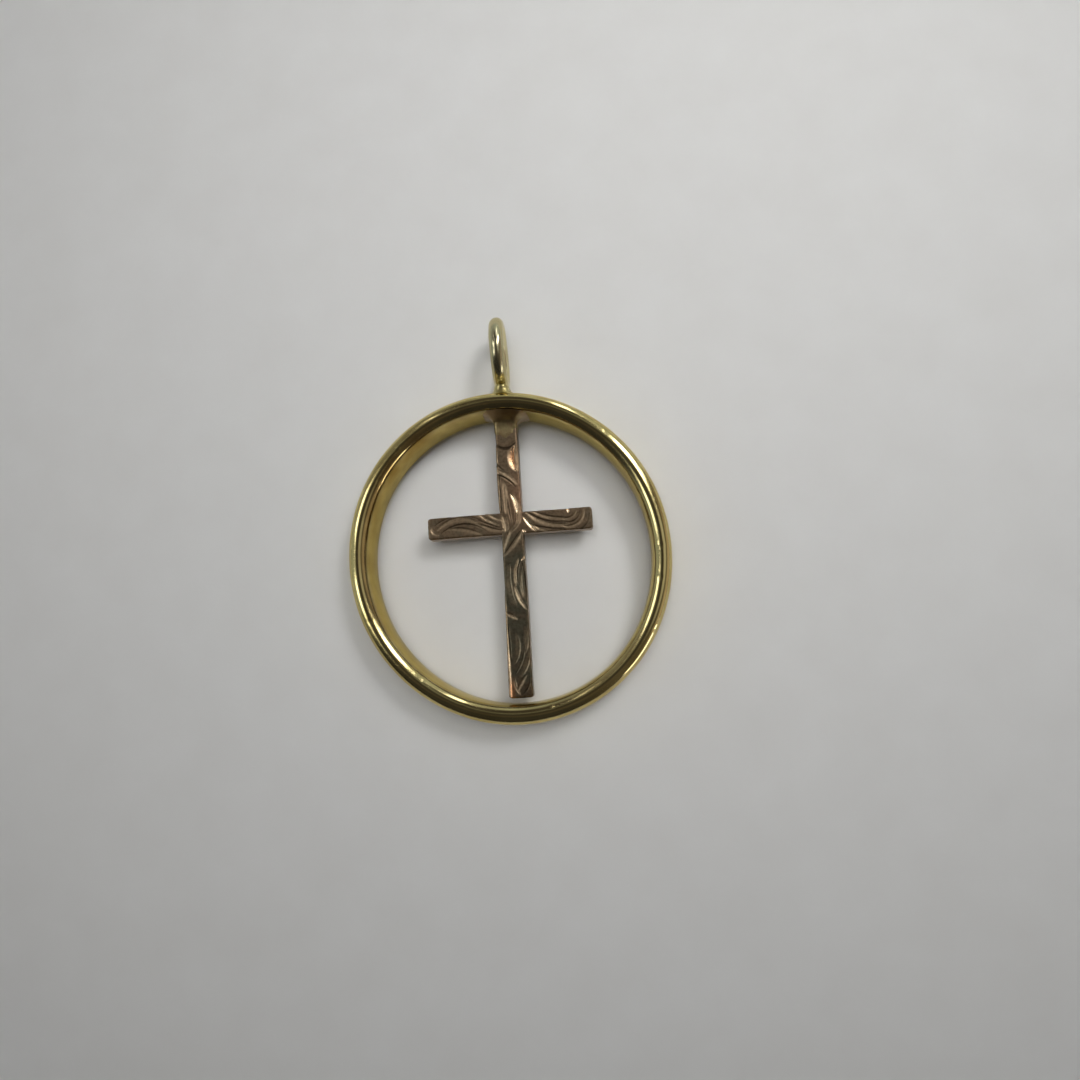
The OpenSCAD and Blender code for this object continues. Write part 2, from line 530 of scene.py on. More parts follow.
@dataclass(frozen=True)
class PolishedGold:
    """Gold alloy, drawn or rolled, then buffed to a mirror and worn.

    The buffing gives the eye the room itself, in yellow. Handling breaks that with hairlines and a thin
    haze, and where no cloth reaches the metal keeps a film of brown. A fresh buff has a roughness near
    0.03, and a worn one near 0.1.
    """

    name: str
    clean: str = "#DCCA8F"
    hazed: str = "#C6B278"
    edge: str = "#E9DDB0"
    film: str = "#7E7160"
    film_brown: str = "#866534"
    film_depth: float = 0.0
    sheen: float = 0.10
    haze_dulls: float = 0.08
    # Haze follows the places that fingers rub, a few millimetres apart.
    haze_pitch: float = 3.0
    film_pitch: float = 1.4286
    # Real hairlines lie about 0.05 mm apart and are 0.002 mm deep. They are drawn ten times as far apart
    # and twice as deep, because finer ones would be lost in the render.
    scratch_pitch: float = 0.5
    scratch_deep: float = 0.004
    scratch_depth: float = 0.09
    # How three sets of hairlines run, in degrees about each axis, and how far apart each lies beside the
    # pitch.
    scratch_sets: tuple = (((10, 25, 0), 1.0), ((-20, 10, 63), 1.4), ((35, -15, 118), 1.2))

    def material(self) -> bpy.types.Material:
        """Makes the material.

        Returns:
            The finished material.
        """
        coat = Coat(self.name, metallic=1.0)
        coat.shader.inputs["Specular Tint"].default_value = linear(self.edge)
        cloud = coat.blotches(self.haze_pitch, 4.0, (0.42, 0.68))
        patchy = coat.blotches(self.film_pitch, 5.0, (0.3, 0.7), (0.45, 1.0))
        deepest = coat.add("ShaderNodeMath", {0: patchy, 1: self.film_depth}, operation="MULTIPLY")
        stain = coat.add("ShaderNodeAttribute", attribute_name="film").outputs["Fac"]
        under_rim = coat.add("ShaderNodeAttribute", attribute_name="under_rim").outputs["Fac"]
        amount = coat.add("ShaderNodeMath", {0: stain, 1: deepest}, operation="MULTIPLY")
        film = layered(coat.tree, self.film, [(under_rim, self.film_brown)])
        colour = layered(coat.tree, self.clean, [(cloud, self.hazed), (amount, film)])
        sets = [coat.hairlines(turn, self.scratch_pitch * share) for turn, share in self.scratch_sets]
        pair = coat.add("ShaderNodeMath", {0: sets[0], 1: sets[1]}, operation="MAXIMUM")
        lines = coat.add("ShaderNodeMath", {0: pair, 1: sets[2]}, operation="MAXIMUM")
        haze = {0: cloud, 1: self.haze_dulls, 2: self.sheen}
        dull = coat.add("ShaderNodeMath", haze, operation="MULTIPLY_ADD")
        scratched = {0: lines, 1: 0.5 * self.scratch_depth, 2: dull}
        rough = coat.add("ShaderNodeMath", scratched, operation="MULTIPLY_ADD")
        grooves = {"Height": lines, "Strength": self.scratch_depth, "Distance": self.scratch_deep * MM}
        bump = coat.add("ShaderNodeBump", grooves, invert=True)
        return coat.finish(Base_Color=colour, Roughness=rough, Normal=bump)


@dataclass(frozen=True)
class WornRoseGold:
    """Rose gold sheet, sawn out, engraved by hand and left to tarnish.

    The copper in it darkens to brown and olive on the flats, with specks of dirt. A graver leaves bright
    walls in its cuts, and rubbing brings the pink metal back along the edges. The cuts' paler colour is
    partly painted highlight, laid where their walls glint and catch light bands. The flats have the
    roughness of dull sheet, and the cuts that of freshly cut metal.
    """

    name: str
    # The pale colour of bare cut metal, laid partly as painted highlight where the cuts glint.
    clean: str = "#E2C6A2"
    brown: str = "#967F66"
    olive: str = "#6D6756"
    rose: str = "#AE866A"
    copper: str = "#C48458"
    dirt: str = "#241D14"
    flat_roughness: float = 0.34
    cut_roughness: float = 0.2
    patch_dulls: float = 0.08
    mottling: float = 0.8
    patch_pitch: float = 0.625
    # Real specks of dirt are about 0.05 mm across. They are drawn three times as large, to show.
    speck_pitch: float = 0.1818
    speck_cover: float = 0.38
    # Real tarnish is pitted every 0.03 mm or so, which is also drawn coarser, to show.
    pit_pitch: float = 0.12
    pit_deep: float = 0.012
    pit_strength: float = 0.4
    scratch_pitch: float = 0.35
    scratch_share: float = 0.4

    def material(self) -> bpy.types.Material:
        """Makes the material.

        Returns:
            The finished material.
        """
        coat = Coat(self.name, metallic=1.0)
        marks = {
            key: coat.add("ShaderNodeAttribute", attribute_name=key).outputs["Fac"]
            for key in ("tarnish", "rose", "polish_and_highlight", "copper", "dirt")
        }
        spread = coat.blotches(self.patch_pitch, 5.0, (0.3, 0.7))
        about_zero = {0: spread, 1: self.mottling, 2: -self.mottling / 2}
        mottled = coat.add("ShaderNodeMath", about_zero, operation="MULTIPLY_ADD")
        shade = {0: marks["tarnish"], 1: mottled}
        olive_part = coat.add("ShaderNodeMath", shade, operation="ADD", use_clamp=True)
        speckle = coat.blotches(self.speck_pitch, 6.0, (0.42, 0.72), (0.0, self.speck_cover))
        # The pale layer of the cuts is partly painted highlight: it goes where the cuts glint and catch
        # light bands.
        layers = (
            (olive_part, self.olive), (marks["rose"], self.rose), (marks["polish_and_highlight"], self.clean),
            (marks["copper"], self.copper), (speckle, self.dirt), (marks["dirt"], self.dirt),
        )
        colour = layered(coat.tree, self.brown, layers)
        limits = {"Value": marks["polish_and_highlight"], "To Min": self.flat_roughness, "To Max": self.cut_roughness}
        dull = coat.add("ShaderNodeMapRange", limits)
        uneven = {0: spread, 1: self.patch_dulls, 2: dull}
        rough = coat.add("ShaderNodeMath", uneven, operation="MULTIPLY_ADD")
        pitting = {"Vector": coat.mm, "Scale": 1 / self.pit_pitch, "Detail": 3.0}
        pits = coat.add("ShaderNodeTexNoise", pitting)
        lines = coat.hairlines((0, 0, 40), self.scratch_pitch)
        relief = {0: lines, 1: -self.scratch_share, 2: pits.outputs[0]}
        height = coat.add("ShaderNodeMath", relief, operation="MULTIPLY_ADD")
        hollows = {"Height": height, "Strength": self.pit_strength, "Distance": self.pit_deep * MM}
        bump = coat.add("ShaderNodeBump", hollows)
        return coat.finish(Base_Color=colour, Roughness=rough, Normal=bump)


@dataclass(frozen=True)
class RunSolder:
    """Gold solder that ran in the flame and froze.

    It gives the eye a greyer, softer shine than the buffed gold beside it, broken by pits, because
    nobody polished it. Where it ran out thin it took on the brown of the heated wall.
    """

    name: str
    bright: str = "#BCAC7E"
    dark: str = "#96805E"
    thin: str = "#8C7350"
    roughness: float = 0.34
    cloud_dulls: float = 0.14
    thin_dulls: float = -0.04
    cloud_pitch: float = 0.4545
    # Gas leaves pits of 0.02 to 0.2 mm in such a joint. They are drawn at the size of the largest ones.
    pit_pitch: float = 0.2
    pit_deep: float = 0.02
    pit_strength: float = 0.22

    def material(self) -> bpy.types.Material:
        """Makes the material.

        Returns:
            The finished material.
        """
        coat = Coat(self.name, metallic=1.0)
        spread = coat.blotches(self.cloud_pitch, 4.0, (0.35, 0.65))
        fringe = coat.add("ShaderNodeAttribute", attribute_name="fringe").outputs["Fac"]
        colour = layered(coat.tree, self.bright, ((spread, self.dark), (fringe, self.thin)))
        clouded = {0: spread, 1: self.cloud_dulls, 2: self.roughness}
        dull = coat.add("ShaderNodeMath", clouded, operation="MULTIPLY_ADD")
        thinned = {0: fringe, 1: self.thin_dulls, 2: dull}
        rough = coat.add("ShaderNodeMath", thinned, operation="MULTIPLY_ADD")
        pits = coat.add("ShaderNodeTexVoronoi", {"Vector": coat.mm, "Scale": 1 / self.pit_pitch})
        limits = {"Value": pits.outputs["Distance"], "From Min": 0.05, "From Max": 0.45}
        hollow = coat.add("ShaderNodeMapRange", limits)
        hollows = {"Height": hollow, "Strength": self.pit_strength, "Distance": self.pit_deep * MM}
        bump = coat.add("ShaderNodeBump", hollows)
        return coat.finish(Base_Color=colour, Roughness=rough, Normal=bump)


@dataclass(frozen=True)
class PlainCard:
    """Smooth uncoated card, pressed but not glazed.

    It gives the eye a pale and dead matt ground, with the faint clouding of its pulp. Flocks of fibre
    make that clouding, and they lie about 4 mm apart in real card too.
    """

    name: str
    pale: str = "#E6E6E4"
    clouded: str = "#DEDDDA"
    flock_pitch: float = 4.0
    roughness: float = 0.9

    def material(self) -> bpy.types.Material:
        """Makes the material.

        Returns:
            The finished material.
        """
        coat = Coat(self.name, metallic=0.0, roughness=self.roughness)
        flocks = {"Vector": coat.mm, "Scale": 1 / self.flock_pitch, "Detail": 6.0}
        pulp = coat.add("ShaderNodeTexNoise", flocks)
        return coat.finish(Base_Color=layered(coat.tree, self.pale, [(pulp.outputs[0], self.clouded)]))


@dataclass
class Hoop:
    """The plain hoop: a band of rounded section, bent to a circle that is a little out of round.

    Bearings round it are in degrees from the bail, with the left side counted as above zero.
    """

    finish: PolishedGold
    long_way: float = 21.6
    short_way: float = 20.8
    turn: float = math.radians(22)
    thick: float = 1.32
    deep: float = 3.6
    rim_radius: float = 0.6
    steps_round: int = 880
    steps_across: int = 88
    # The steps across the band stand closer together where its rims turn than on its flat walls.
    bunching: float = -0.25
    wobble: float = 0.02
    wobble_pitch: float = 4.5
    # Dings for each square millimetre, with the size of one.
    dings: float = 0.16
    ding_radius: float = 0.32
    ding_depth: float = 0.012
    ding_seed: int = 7
    # Bearing of the film's deepest place, how far it and its browner tone spread to either side of it,
    # how far it spreads from the solder head, and the least share of it elsewhere.
    film_bearing: float = 45.0
    film_spread: float = 90.0
    brown_spread: float = 80.0
    head_spread: float = 35.0
    film_least: float = 0.4

    @property
    def oval_offset(self) -> float:
        """Distance of each arc's centre from the hoop's."""
        return (self.long_way - self.short_way) / 2 / (2 - math.sqrt(2))

    @property
    def end_arc(self) -> float:
        """Radius of the two tighter arcs, to the band's middle."""
        return (self.long_way - self.thick) / 2 - self.oval_offset

    @property
    def rim_offset(self) -> float:
        """Distance of each rim's centre from the middle of the band's section."""
        return self.deep / 2 - self.rim_radius

    @property
    def wall_radius(self) -> float:
        """Radius of the flat arc up each wall of the band."""
        half = self.thick / 2
        return (self.rim_offset**2 + half**2 - self.rim_radius**2) / (2 * (half - self.rim_radius))

    @property
    def wall_offset(self) -> float:
        """Distance of each wall arc's centre from the middle of the band's section."""
        return self.wall_radius - self.thick / 2

    @property
    def reach(self) -> float:
        """Distance from the hoop's centre to the band's middle, towards the bail."""
        return self.end_arc + self.oval_offset * math.cos(self.turn)

    @property
    def outside(self) -> float:
        """Distance from the hoop's centre to its outer wall, towards the bail."""
        return self.reach + self.thick / 2

    @property
    def inside(self) -> float:
        """Distance from the hoop's centre to its inner wall, towards the bail."""
        return self.reach - self.thick / 2

    def wall_y(self, x: np.ndarray, z: np.ndarray, outer: bool) -> np.ndarray:
        """Gives the hoop's wall near the bail, as its Y over a place.

        Args:
            x: Place to the right.
            z: Place along the band's depth.
            outer: True for the outer wall.

        Returns:
            Y of the wall there.
        """
        bulge = np.sqrt(self.wall_radius**2 - z**2) - self.wall_offset
        radius = self.end_arc + (bulge if outer else -bulge)
        aside = x + self.oval_offset * math.sin(self.turn)
        return self.oval_offset * math.cos(self.turn) + np.sqrt(radius**2 - aside**2)

    def grow(self) -> bpy.types.Mesh:
        """Sweeps the band's oval section round the hoop's oval, then wears it.

        Returns:
            The hoop's mesh.
        """
        named = {
            "Oval offset": self.oval_offset,
            "End arc": self.end_arc,
            "Side arc": self.end_arc + self.oval_offset * math.sqrt(2),
            "Turn": self.turn,
            "Rim offset": self.rim_offset,
            "Rim radius": self.rim_radius,
            "Wall offset": self.wall_offset,
            "Wall radius": self.wall_radius,
            "Steps round": self.steps_round,
            "Steps across": self.steps_across,
            "Bunching": self.bunching,
            "Unevenness": self.wobble,
            "Unevenness pitch": self.wobble_pitch,
            "Dings": self.dings,
            "Ding radius": self.ding_radius,
            "Ding depth": self.ding_depth,
            "Seed": self.ding_seed,
        }
        rule = SizedTree("Band hoop", named, self.finish.material())
        add, sizes = rule.add, rule.sizes
        oval = four_arc_oval()
        columns = add("ShaderNodeMath", {0: sizes["Steps round"], 1: 1.0}, operation="ADD")
        rows = add("ShaderNodeMath", {0: sizes["Steps across"], 1: 1.0}, operation="ADD")
        grid = {"Size X": FULL_TURN, "Size Y": FULL_TURN, "Vertices X": columns, "Vertices Y": rows}
        sheet = add("GeometryNodeMeshGrid", grid)
        spot = add("ShaderNodeSeparateXYZ", {0: add("GeometryNodeInputPosition")})
        double = add("ShaderNodeMath", {0: spot.outputs["Y"], 1: 2.0}, operation="MULTIPLY")
        bunch = add("ShaderNodeMath", {0: double}, operation="SINE")
        crowded = {0: bunch, 1: sizes["Bunching"], 2: spot.outputs["Y"]}
        across = add("ShaderNodeMath", crowded, operation="MULTIPLY_ADD")
        band = {
            "Angle": across, "End offset": sizes["Rim offset"], "End radius": sizes["Rim radius"],
            "Side offset": sizes["Wall offset"], "Side radius": sizes["Wall radius"],
        }
        stand_off = add("ShaderNodeSeparateXYZ", {0: add("GeometryNodeGroup", band, node_tree=oval)})
        end = add("ShaderNodeMath", {0: sizes["End arc"], 1: stand_off.outputs["X"]}, operation="ADD")
        side = add("ShaderNodeMath", {0: sizes["Side arc"], 1: stand_off.outputs["X"]}, operation="ADD")
        circuit = {
            "Angle": spot.outputs["X"], "End offset": sizes["Oval offset"], "End radius": end,
            "Side offset": sizes["Oval offset"], "Side radius": side,
        }
        path = add("GeometryNodeGroup", circuit, node_tree=oval)
        lift = add("ShaderNodeCombineXYZ", {"Z": stand_off.outputs["Y"]})
        bent = add("ShaderNodeVectorMath", {0: path, 1: lift}, operation="ADD")
        spin = {"Vector": bent, "Angle": sizes["Turn"]}
        turned = add("ShaderNodeVectorRotate", spin, rotation_type="Z_AXIS")
        inward = add("ShaderNodeMath", {0: across}, operation="COSINE")
        facing = {"Geometry": sheet.outputs["Mesh"], "Name": "inward", "Value": inward}
        marked = add("GeometryNodeStoreNamedAttribute", facing, data_type="FLOAT", domain="POINT")
        swept = add("GeometryNodeSetPosition", {"Geometry": marked, "Position": turned})
        closed = add("GeometryNodeMergeByDistance", {"Geometry": swept, "Distance": 0.001})
        return rule.grow(self.ding(rule, rule.waver(closed)))

    def ding(self, rule: SizedTree, surface: bpy.types.Node) -> bpy.types.Node:
        """Adds the small dings of long wear.

        Args:
            rule: The hoop's tree.
            surface: The node that gives the unworn band.

        Returns:
            The node that gives the worn band.
        """
        add, sizes = rule.add, rule.sizes
        strewn = {"Mesh": surface, "Density": sizes["Dings"], "Seed": sizes["Seed"]}
        spots = add("GeometryNodeDistributePointsOnFaces", strewn)
        near = add("GeometryNodeProximity", {0: spots.outputs["Points"]}, target_element="POINTS")
        bowl = {
            "Value": near.outputs["Distance"], "From Max": sizes["Ding radius"],
            "To Min": -1.0, "To Max": 0.0,
        }
        dent = add("ShaderNodeMapRange", bowl, interpolation_type="SMOOTHSTEP")
        depth = add("ShaderNodeMath", {0: dent, 1: sizes["Ding depth"]}, operation="MULTIPLY")
        return rule.push(surface, depth)

    def stain(self, mesh: bpy.types.Mesh) -> None:
        """Marks the brown film of soldering and wear on the inner wall, most of it at the upper left.

        Args:
            mesh: The hoop's mesh, in its own millimetres.
        """
        count = len(mesh.vertices)
        spots = np.zeros(count * 3)
        mesh.vertices.foreach_get("co", spots)
        x, y, z = spots.reshape(-1, 3).T
        inward = np.zeros(count)
        mesh.attributes["inward"].data.foreach_get("value", inward)
        bearing = np.degrees(np.arctan2(-x, y))
        off = np.abs(bearing - self.film_bearing)
        round_wall = self.film_least + (1 - self.film_least) * ramp(off, self.film_spread, 0) ** 0.7
        at_head = ramp(np.abs(bearing), self.head_spread, 0) ** 0.5
        film = np.clip(-inward, 0, 1) ** 0.6 * np.maximum(round_wall, at_head)
        # The browner tone lies under the upper rim, and hardly any of it shows by the solder head.
        high = ramp(z, -0.5, 0.9)
        under_rim = high * ramp(off, self.brown_spread, 0) ** 0.5 * (1 - 0.8 * at_head)
        store(mesh, {"film": film, "under_rim": under_rim})

    def build(self, pose: RestPose) -> list[bpy.types.Object]:
        """Builds the hoop where it rests.

        Args:
            pose: Where the pendant lies.

        Returns:
            The hoop's piece.
        """
        mesh = self.grow()
        self.stain(mesh)
        return [place("hoop_band", mesh, pose.matrix(), Part.HOOP)]


@dataclass(frozen=True)
class Cut:
    """One stroke of the graver, along the arc through three places (u, v) of the face.

    It swells from nothing to its full width and dies away. Its tone is 1 where it is painted brightest,
    partly bare cut metal and partly a painted highlight of the glints and light bands that its walls
    catch, 0 where it looks like the ground and -1 where dirt fills it.
    """

    start: tuple[float, float]
    middle: tuple[float, float]
    end: tuple[float, float]
    half: float = 0.14
    deep: float = 0.05
    tone: float = 0.25
    steep: Steep = Steep.NEITHER

    def share(self, u: np.ndarray, v: np.ndarray) -> tuple[np.ndarray, np.ndarray]:
        """Gives how deep each place lies in the stroke.

        Args:
            u: Places across the upright.
            v: Places along the upright.

        Returns:
            The share of the stroke's full depth there, and its swelling along the stroke.
        """
        first, middle, last = (complex(*place) for place in (self.start, self.middle, self.end))
        chord = (last - first) / (middle - first)
        centre = first + (middle - first) * (chord - abs(chord) ** 2) / (2j * chord.imag)
        radius = abs(first - centre)
        spot = u + 1j * v - centre
        way = 1 if chord.imag > 0 else -1
        swept = (way * np.angle((last - centre) / (first - centre))) % FULL_TURN
        along = ((way * np.angle(spot / (first - centre))) % FULL_TURN) / swept
        swelling = np.where(along < 1, np.sin(math.pi * np.clip(along, 0, 1)), 0) ** 0.5
        width = np.maximum(self.half * swelling, TINY)
        off = np.abs(spot) - radius
        floor = self.steep.value * width
        near, far = (off + width) / (width + floor), (width - off) / (width - floor)
        share = np.clip(np.where(off < floor, near, far), 0, 1)
        return share * (0.5 + share * (1.5 - share)), swelling


# A tone above zero is partly painted highlight, laid where a cut's wall glints.
ARM_CUTS = (
    Cut((-4.95, -0.16), (-3.65, 0.48), (-1.95, -0.06), half=0.20, tone=0.32, steep=Steep.OUTER),
    Cut((-2.45, 0.20), (-1.45, -0.28), (-0.60, -0.48), half=0.17, tone=0.32, steep=Steep.INNER),
    Cut((-4.25, -0.14), (-3.25, -0.20), (-1.95, -0.70), half=0.17, tone=0.30, steep=Steep.OUTER),
    Cut((-5.34, 0.14), (-5.24, -0.25), (-4.78, -0.44), half=0.10, tone=0.30, steep=Steep.INNER),
    Cut((-2.20, 0.78), (-1.62, 0.34), (-0.80, -0.10), half=0.14, tone=0.70, steep=Steep.INNER),
    Cut((-1.60, 0.76), (-1.20, 0.48), (-0.62, 0.20), half=0.11, tone=0.38, steep=Steep.INNER),
    Cut((-5.10, 0.20), (-3.60, 0.74), (-1.90, 0.28), half=0.06, tone=-0.6),
    Cut((-2.20, 0.38), (-1.50, 0.04), (-0.75, -0.24), half=0.06, tone=-0.6),
    Cut((-4.70, -0.36), (-3.40, 0.16), (-1.55, -0.48), half=0.06, tone=-0.6),
    Cut((0.76, 0.42), (1.14, -0.18), (1.60, -0.66), half=0.14, deep=0.055, tone=1.0, steep=Steep.INNER),
    Cut((0.60, -0.38), (0.72, -0.54), (0.88, -0.66), half=0.10, tone=1.0, steep=Steep.INNER),
    Cut((0.92, 0.74), (2.10, -0.12), (3.80, -0.30), half=0.19, tone=0.38, steep=Steep.INNER),
    Cut((3.20, -0.34), (4.62, 0.00), (4.74, 0.60), half=0.15, tone=0.32, steep=Steep.INNER),
    Cut((1.34, 0.74), (2.35, 0.24), (3.65, 0.10), half=0.16, tone=0.38, steep=Steep.INNER),
    Cut((3.20, 0.10), (4.02, 0.18), (4.26, 0.54), half=0.12, tone=0.30, steep=Steep.INNER),
    Cut((1.35, -0.20), (1.72, -0.46), (2.30, -0.68), half=0.12, tone=0.32, steep=Steep.INNER),
    Cut((1.10, 0.68), (2.20, 0.05), (3.60, -0.10), half=0.055, tone=-0.6),
    Cut((3.40, -0.10), (4.30, 0.06), (4.48, 0.50), half=0.055, tone=-0.5),
    Cut((1.20, -0.10), (2.20, -0.46), (3.60, -0.58), half=0.06, tone=-0.6),
    Cut((3.30, -0.58), (4.80, -0.45), (5.06, 0.30), half=0.06, tone=-0.5),
    Cut((3.64, 0.82), (3.71, 0.62), (3.74, 0.42), half=0.10, tone=0.9),
)

UPRIGHT_CUTS = (
    Cut((-0.80, 5.50), (-0.12, 4.98), (0.56, 5.36), half=0.14, deep=0.03, tone=-0.7),
    Cut((0.46, 5.16), (0.20, 4.30), (0.58, 3.36), half=0.26, deep=0.10, tone=0.85, steep=Steep.INNER),
    Cut((0.66, 5.10), (0.62, 4.30), (0.68, 3.40), half=0.10, tone=0.15),
    Cut((-0.88, 4.24), (-0.60, 3.84), (-0.26, 3.48), half=0.10, deep=0.06, tone=-0.8),
    Cut((-0.80, 3.62), (-0.10, 3.14), (0.56, 2.46), half=0.17, tone=0.32, steep=Steep.OUTER),
    Cut((-0.74, 3.30), (-0.15, 2.94), (0.44, 2.36), half=0.07, deep=0.06, tone=-0.9),
    Cut((-0.60, 3.35), (-0.56, 2.00), (-0.60, 0.70), half=0.06, deep=0.06, tone=-0.9),
    Cut((-0.34, 2.82), (-0.24, 1.80), (-0.32, 0.60), half=0.19, tone=0.20, steep=Steep.INNER),
    Cut((0.02, 1.98), (0.28, 1.42), (0.34, 0.50), half=0.17, deep=0.065, tone=1.0, steep=Steep.OUTER),
    Cut((-0.16, 1.65), (-0.10, 0.80), (0.02, -0.10), half=0.07, deep=0.06, tone=-0.8),
    Cut((0.50, 1.50), (0.52, 0.40), (-0.12, -0.60), half=0.18, tone=0.30, steep=Steep.OUTER),
    Cut((0.28, 0.90), (0.22, 0.05), (-0.32, -0.80), half=0.06, tone=-0.6),
    Cut((0.16, -0.10), (-0.34, -0.95), (-0.68, -1.95), half=0.17, tone=0.26, steep=Steep.OUTER),
    Cut((0.76, -0.40), (0.22, -1.22), (-0.68, -2.16), half=0.19, tone=0.30, steep=Steep.INNER),
    Cut((0.52, -0.52), (0.00, -1.18), (-0.52, -1.88), half=0.05, tone=-0.6),
    Cut((-0.66, 0.60), (-0.52, 0.10), (-0.46, -0.60), half=0.12, tone=0.30, steep=Steep.INNER),
    Cut((-0.80, -0.24), (-0.62, -0.38), (-0.40, -0.42), half=0.08, tone=0.6),
    Cut((-0.40, 0.50), (-0.28, -0.10), (-0.34, -0.75), half=0.05, tone=-0.5),
    Cut((0.82, -2.14), (0.64, -2.30), (0.50, -2.50), half=0.10, tone=0.9),
    Cut((0.30, -2.30), (0.02, -3.20), (0.02, -4.10), half=0.13, tone=0.55, steep=Steep.INNER),
    Cut((-0.06, -4.00), (0.16, -4.90), (0.64, -5.68), half=0.15, deep=0.055, tone=0.42, steep=Steep.INNER),
    Cut((0.38, -2.50), (0.18, -3.30), (0.28, -4.10), half=0.06, deep=0.06, tone=-0.8),
    Cut((0.46, -3.10), (0.38, -4.10), (0.52, -4.95), half=0.11, deep=0.04, tone=0.14),
    Cut((0.52, -2.60), (0.66, -3.90), (0.62, -5.20), half=0.07, tone=-0.7),
    Cut((-0.28, -2.60), (-0.44, -4.00), (0.02, -5.50), half=0.22, deep=0.035, tone=0.12, steep=Steep.INNER),
    Cut((-0.92, -5.70), (-0.52, -5.92), (-0.02, -6.28), half=0.14, tone=0.60, steep=Steep.OUTER),
    Cut((0.42, -6.70), (0.46, -7.60), (0.30, -8.50), half=0.20, deep=0.03, tone=0.14, steep=Steep.OUTER),
    Cut((-0.60, -6.20), (-0.56, -7.60), (-0.50, -9.00), half=0.05, tone=-0.8),
    Cut((0.30, -7.80), (0.16, -8.80), (-0.34, -9.70), half=0.07, tone=-0.4),
    Cut((0.60, -8.20), (0.44, -9.00), (0.00, -9.90), half=0.18, deep=0.035, tone=0.16, steep=Steep.OUTER),
    Cut((-0.20, -7.10), (-0.12, -8.10), (-0.40, -9.10), half=0.22, deep=0.03, tone=0.12, steep=Steep.OUTER),
    Cut((0.40, -9.80), (0.06, -10.30), (-0.28, -10.90), half=0.15, deep=0.04, tone=0.18, steep=Steep.OUTER),
    Cut((-0.38, -9.90), (-0.34, -10.50), (-0.06, -11.10), half=0.10, deep=0.045, tone=0.16),
    Cut((0.56, -9.70), (0.50, -10.40), (0.10, -11.00), half=0.07, tone=-0.5),
)


